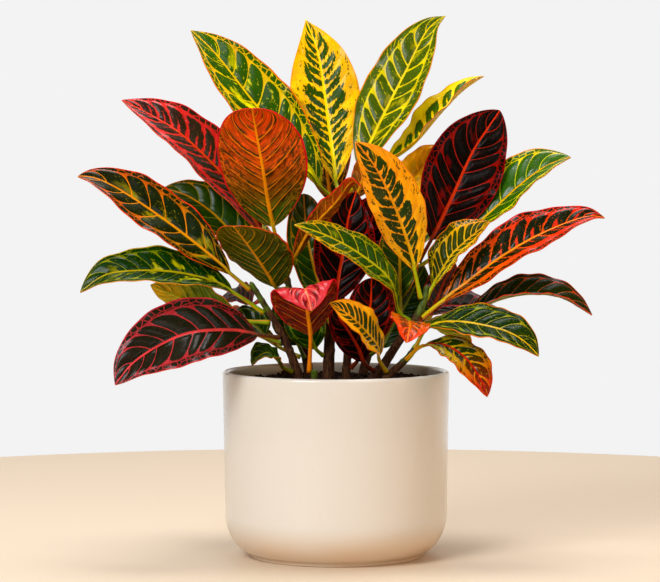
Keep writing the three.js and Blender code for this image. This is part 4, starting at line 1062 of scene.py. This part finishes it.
class CROTON_OT_stage(bpy.types.Operator):
    """Lay the plain floor and set up the soft lights and the camera"""
    bl_idname = "croton.make_stage"
    bl_label = "Make Stage"

    def execute(self, context):
        stage = context.scene.croton_stage
        scene = context.scene
        bm = bmesh.new()
        bmesh.ops.create_circle(bm, cap_ends=True, segments=128, radius=stage.floor_radius)
        mesh = mesh_of(bm, "studio floor")
        floor = bpy.data.objects.new("studio_floor", mesh)
        scene.collection.objects.link(floor)
        # Painted board: pale and matt, so the shadow is soft and nothing is mirrored.
        material, _, shader = new_material("matt pale studio floor, painted")
        fill(material.node_tree, shader, {"Base Color": (*stage.floor_colour, 1), "Roughness": 0.6})
        mesh.materials.append(material)

        world = bpy.data.worlds.new("soft studio light")
        world.use_nodes = True
        scene.world = world
        # A pale wall behind the plant and a dimmer, warmer room in front of it.
        tree = world.node_tree
        add = partial(put, tree)
        way = add("ShaderNodeTexCoord", []).outputs["Generated"]
        heading = add("ShaderNodeSeparateXYZ", [way]).outputs["Y"]
        strength = add(MAP, [heading, 0.1, 0.85, 0.3, 0.98], interpolation_type="SMOOTHSTEP")
        paint = add("ShaderNodeValToRGB", [heading], [(0.2, "#e6d6c4"), (0.9, "#f5f5f5")])
        fill(tree, tree.nodes["Background"], {"Color": paint, "Strength": strength})

        target = Vector((0, 0, 0.22))
        for name, (place, size, power, code) in LIGHTS.items():
            light = bpy.data.lights.new(name, "AREA")
            light.size = size
            light.energy = power
            light.color = linear(code, alpha=False)
            lamp = bpy.data.objects.new(name, light)
            lamp.location = place
            lamp.rotation_euler = (target - Vector(place)).to_track_quat("-Z", "Y").to_euler()
            scene.collection.objects.link(lamp)

        camera = bpy.data.cameras.new("camera")
        camera.lens = stage.lens
        camera.sensor_width = 36
        camera.clip_end = 50
        view = bpy.data.objects.new("camera", camera)
        turn, dip = math.atan(ASIDE_PX / CAMERA_PX), math.atan(BELOW_PX / CAMERA_PX)
        view.location = (0, -stage.distance, stage.eye_height)
        view.rotation_euler = (math.pi / 2 - dip, 0, turn)
        scene.collection.objects.link(view)
        scene.camera = view
        scene.view_settings.view_transform = "Standard"
        return {"FINISHED"}


class CROTON_PT_panel(bpy.types.Panel):
    """Sizes, colours and makers of the potted croton"""
    bl_label = "Potted Croton"
    bl_idname = "CROTON_PT_panel"
    bl_space_type = "VIEW_3D"
    bl_region_type = "UI"
    bl_category = "Croton"

    def draw(self, context):
        for group, operator in GROUPS:
            box = self.layout.box()
            if group:
                settings = getattr(context.scene, group)
                for name in settings.__annotations__:
                    box.prop(settings, name)
            box.operator(operator)


GROUPS = (("croton_pot", "croton.make_pot"), ("croton_soil", "croton.make_soil"), (None, "croton.make_stems"),
          ("croton_leaves", "croton.make_leaves"), ("croton_stage", "croton.make_stage"))
SETTINGS = {"croton_pot": CrotonPot, "croton_soil": CrotonSoil, "croton_leaves": CrotonLeaves,
            "croton_stage": CrotonStage}
CLASSES = (CrotonPot, CrotonSoil, CrotonLeaves, CrotonStage, CROTON_OT_pot, CROTON_OT_soil, CROTON_OT_stems,
           CROTON_OT_leaves, CROTON_OT_stage, CROTON_PT_panel)


def register():
    for kind in CLASSES:
        bpy.utils.register_class(kind)
    for name, kind in SETTINGS.items():
        setattr(bpy.types.Scene, name, PointerProperty(type=kind))


def unregister():
    for name in SETTINGS:
        delattr(bpy.types.Scene, name)
    for kind in reversed(CLASSES):
        bpy.utils.unregister_class(kind)


def main():
    register()
    bpy.ops.croton.make_pot()
    bpy.ops.croton.make_soil()
    bpy.ops.croton.make_stems()
    bpy.ops.croton.make_leaves()
    bpy.ops.croton.make_stage()
    bpy.context.view_layer.update()


if __name__ == "__main__":
    main()
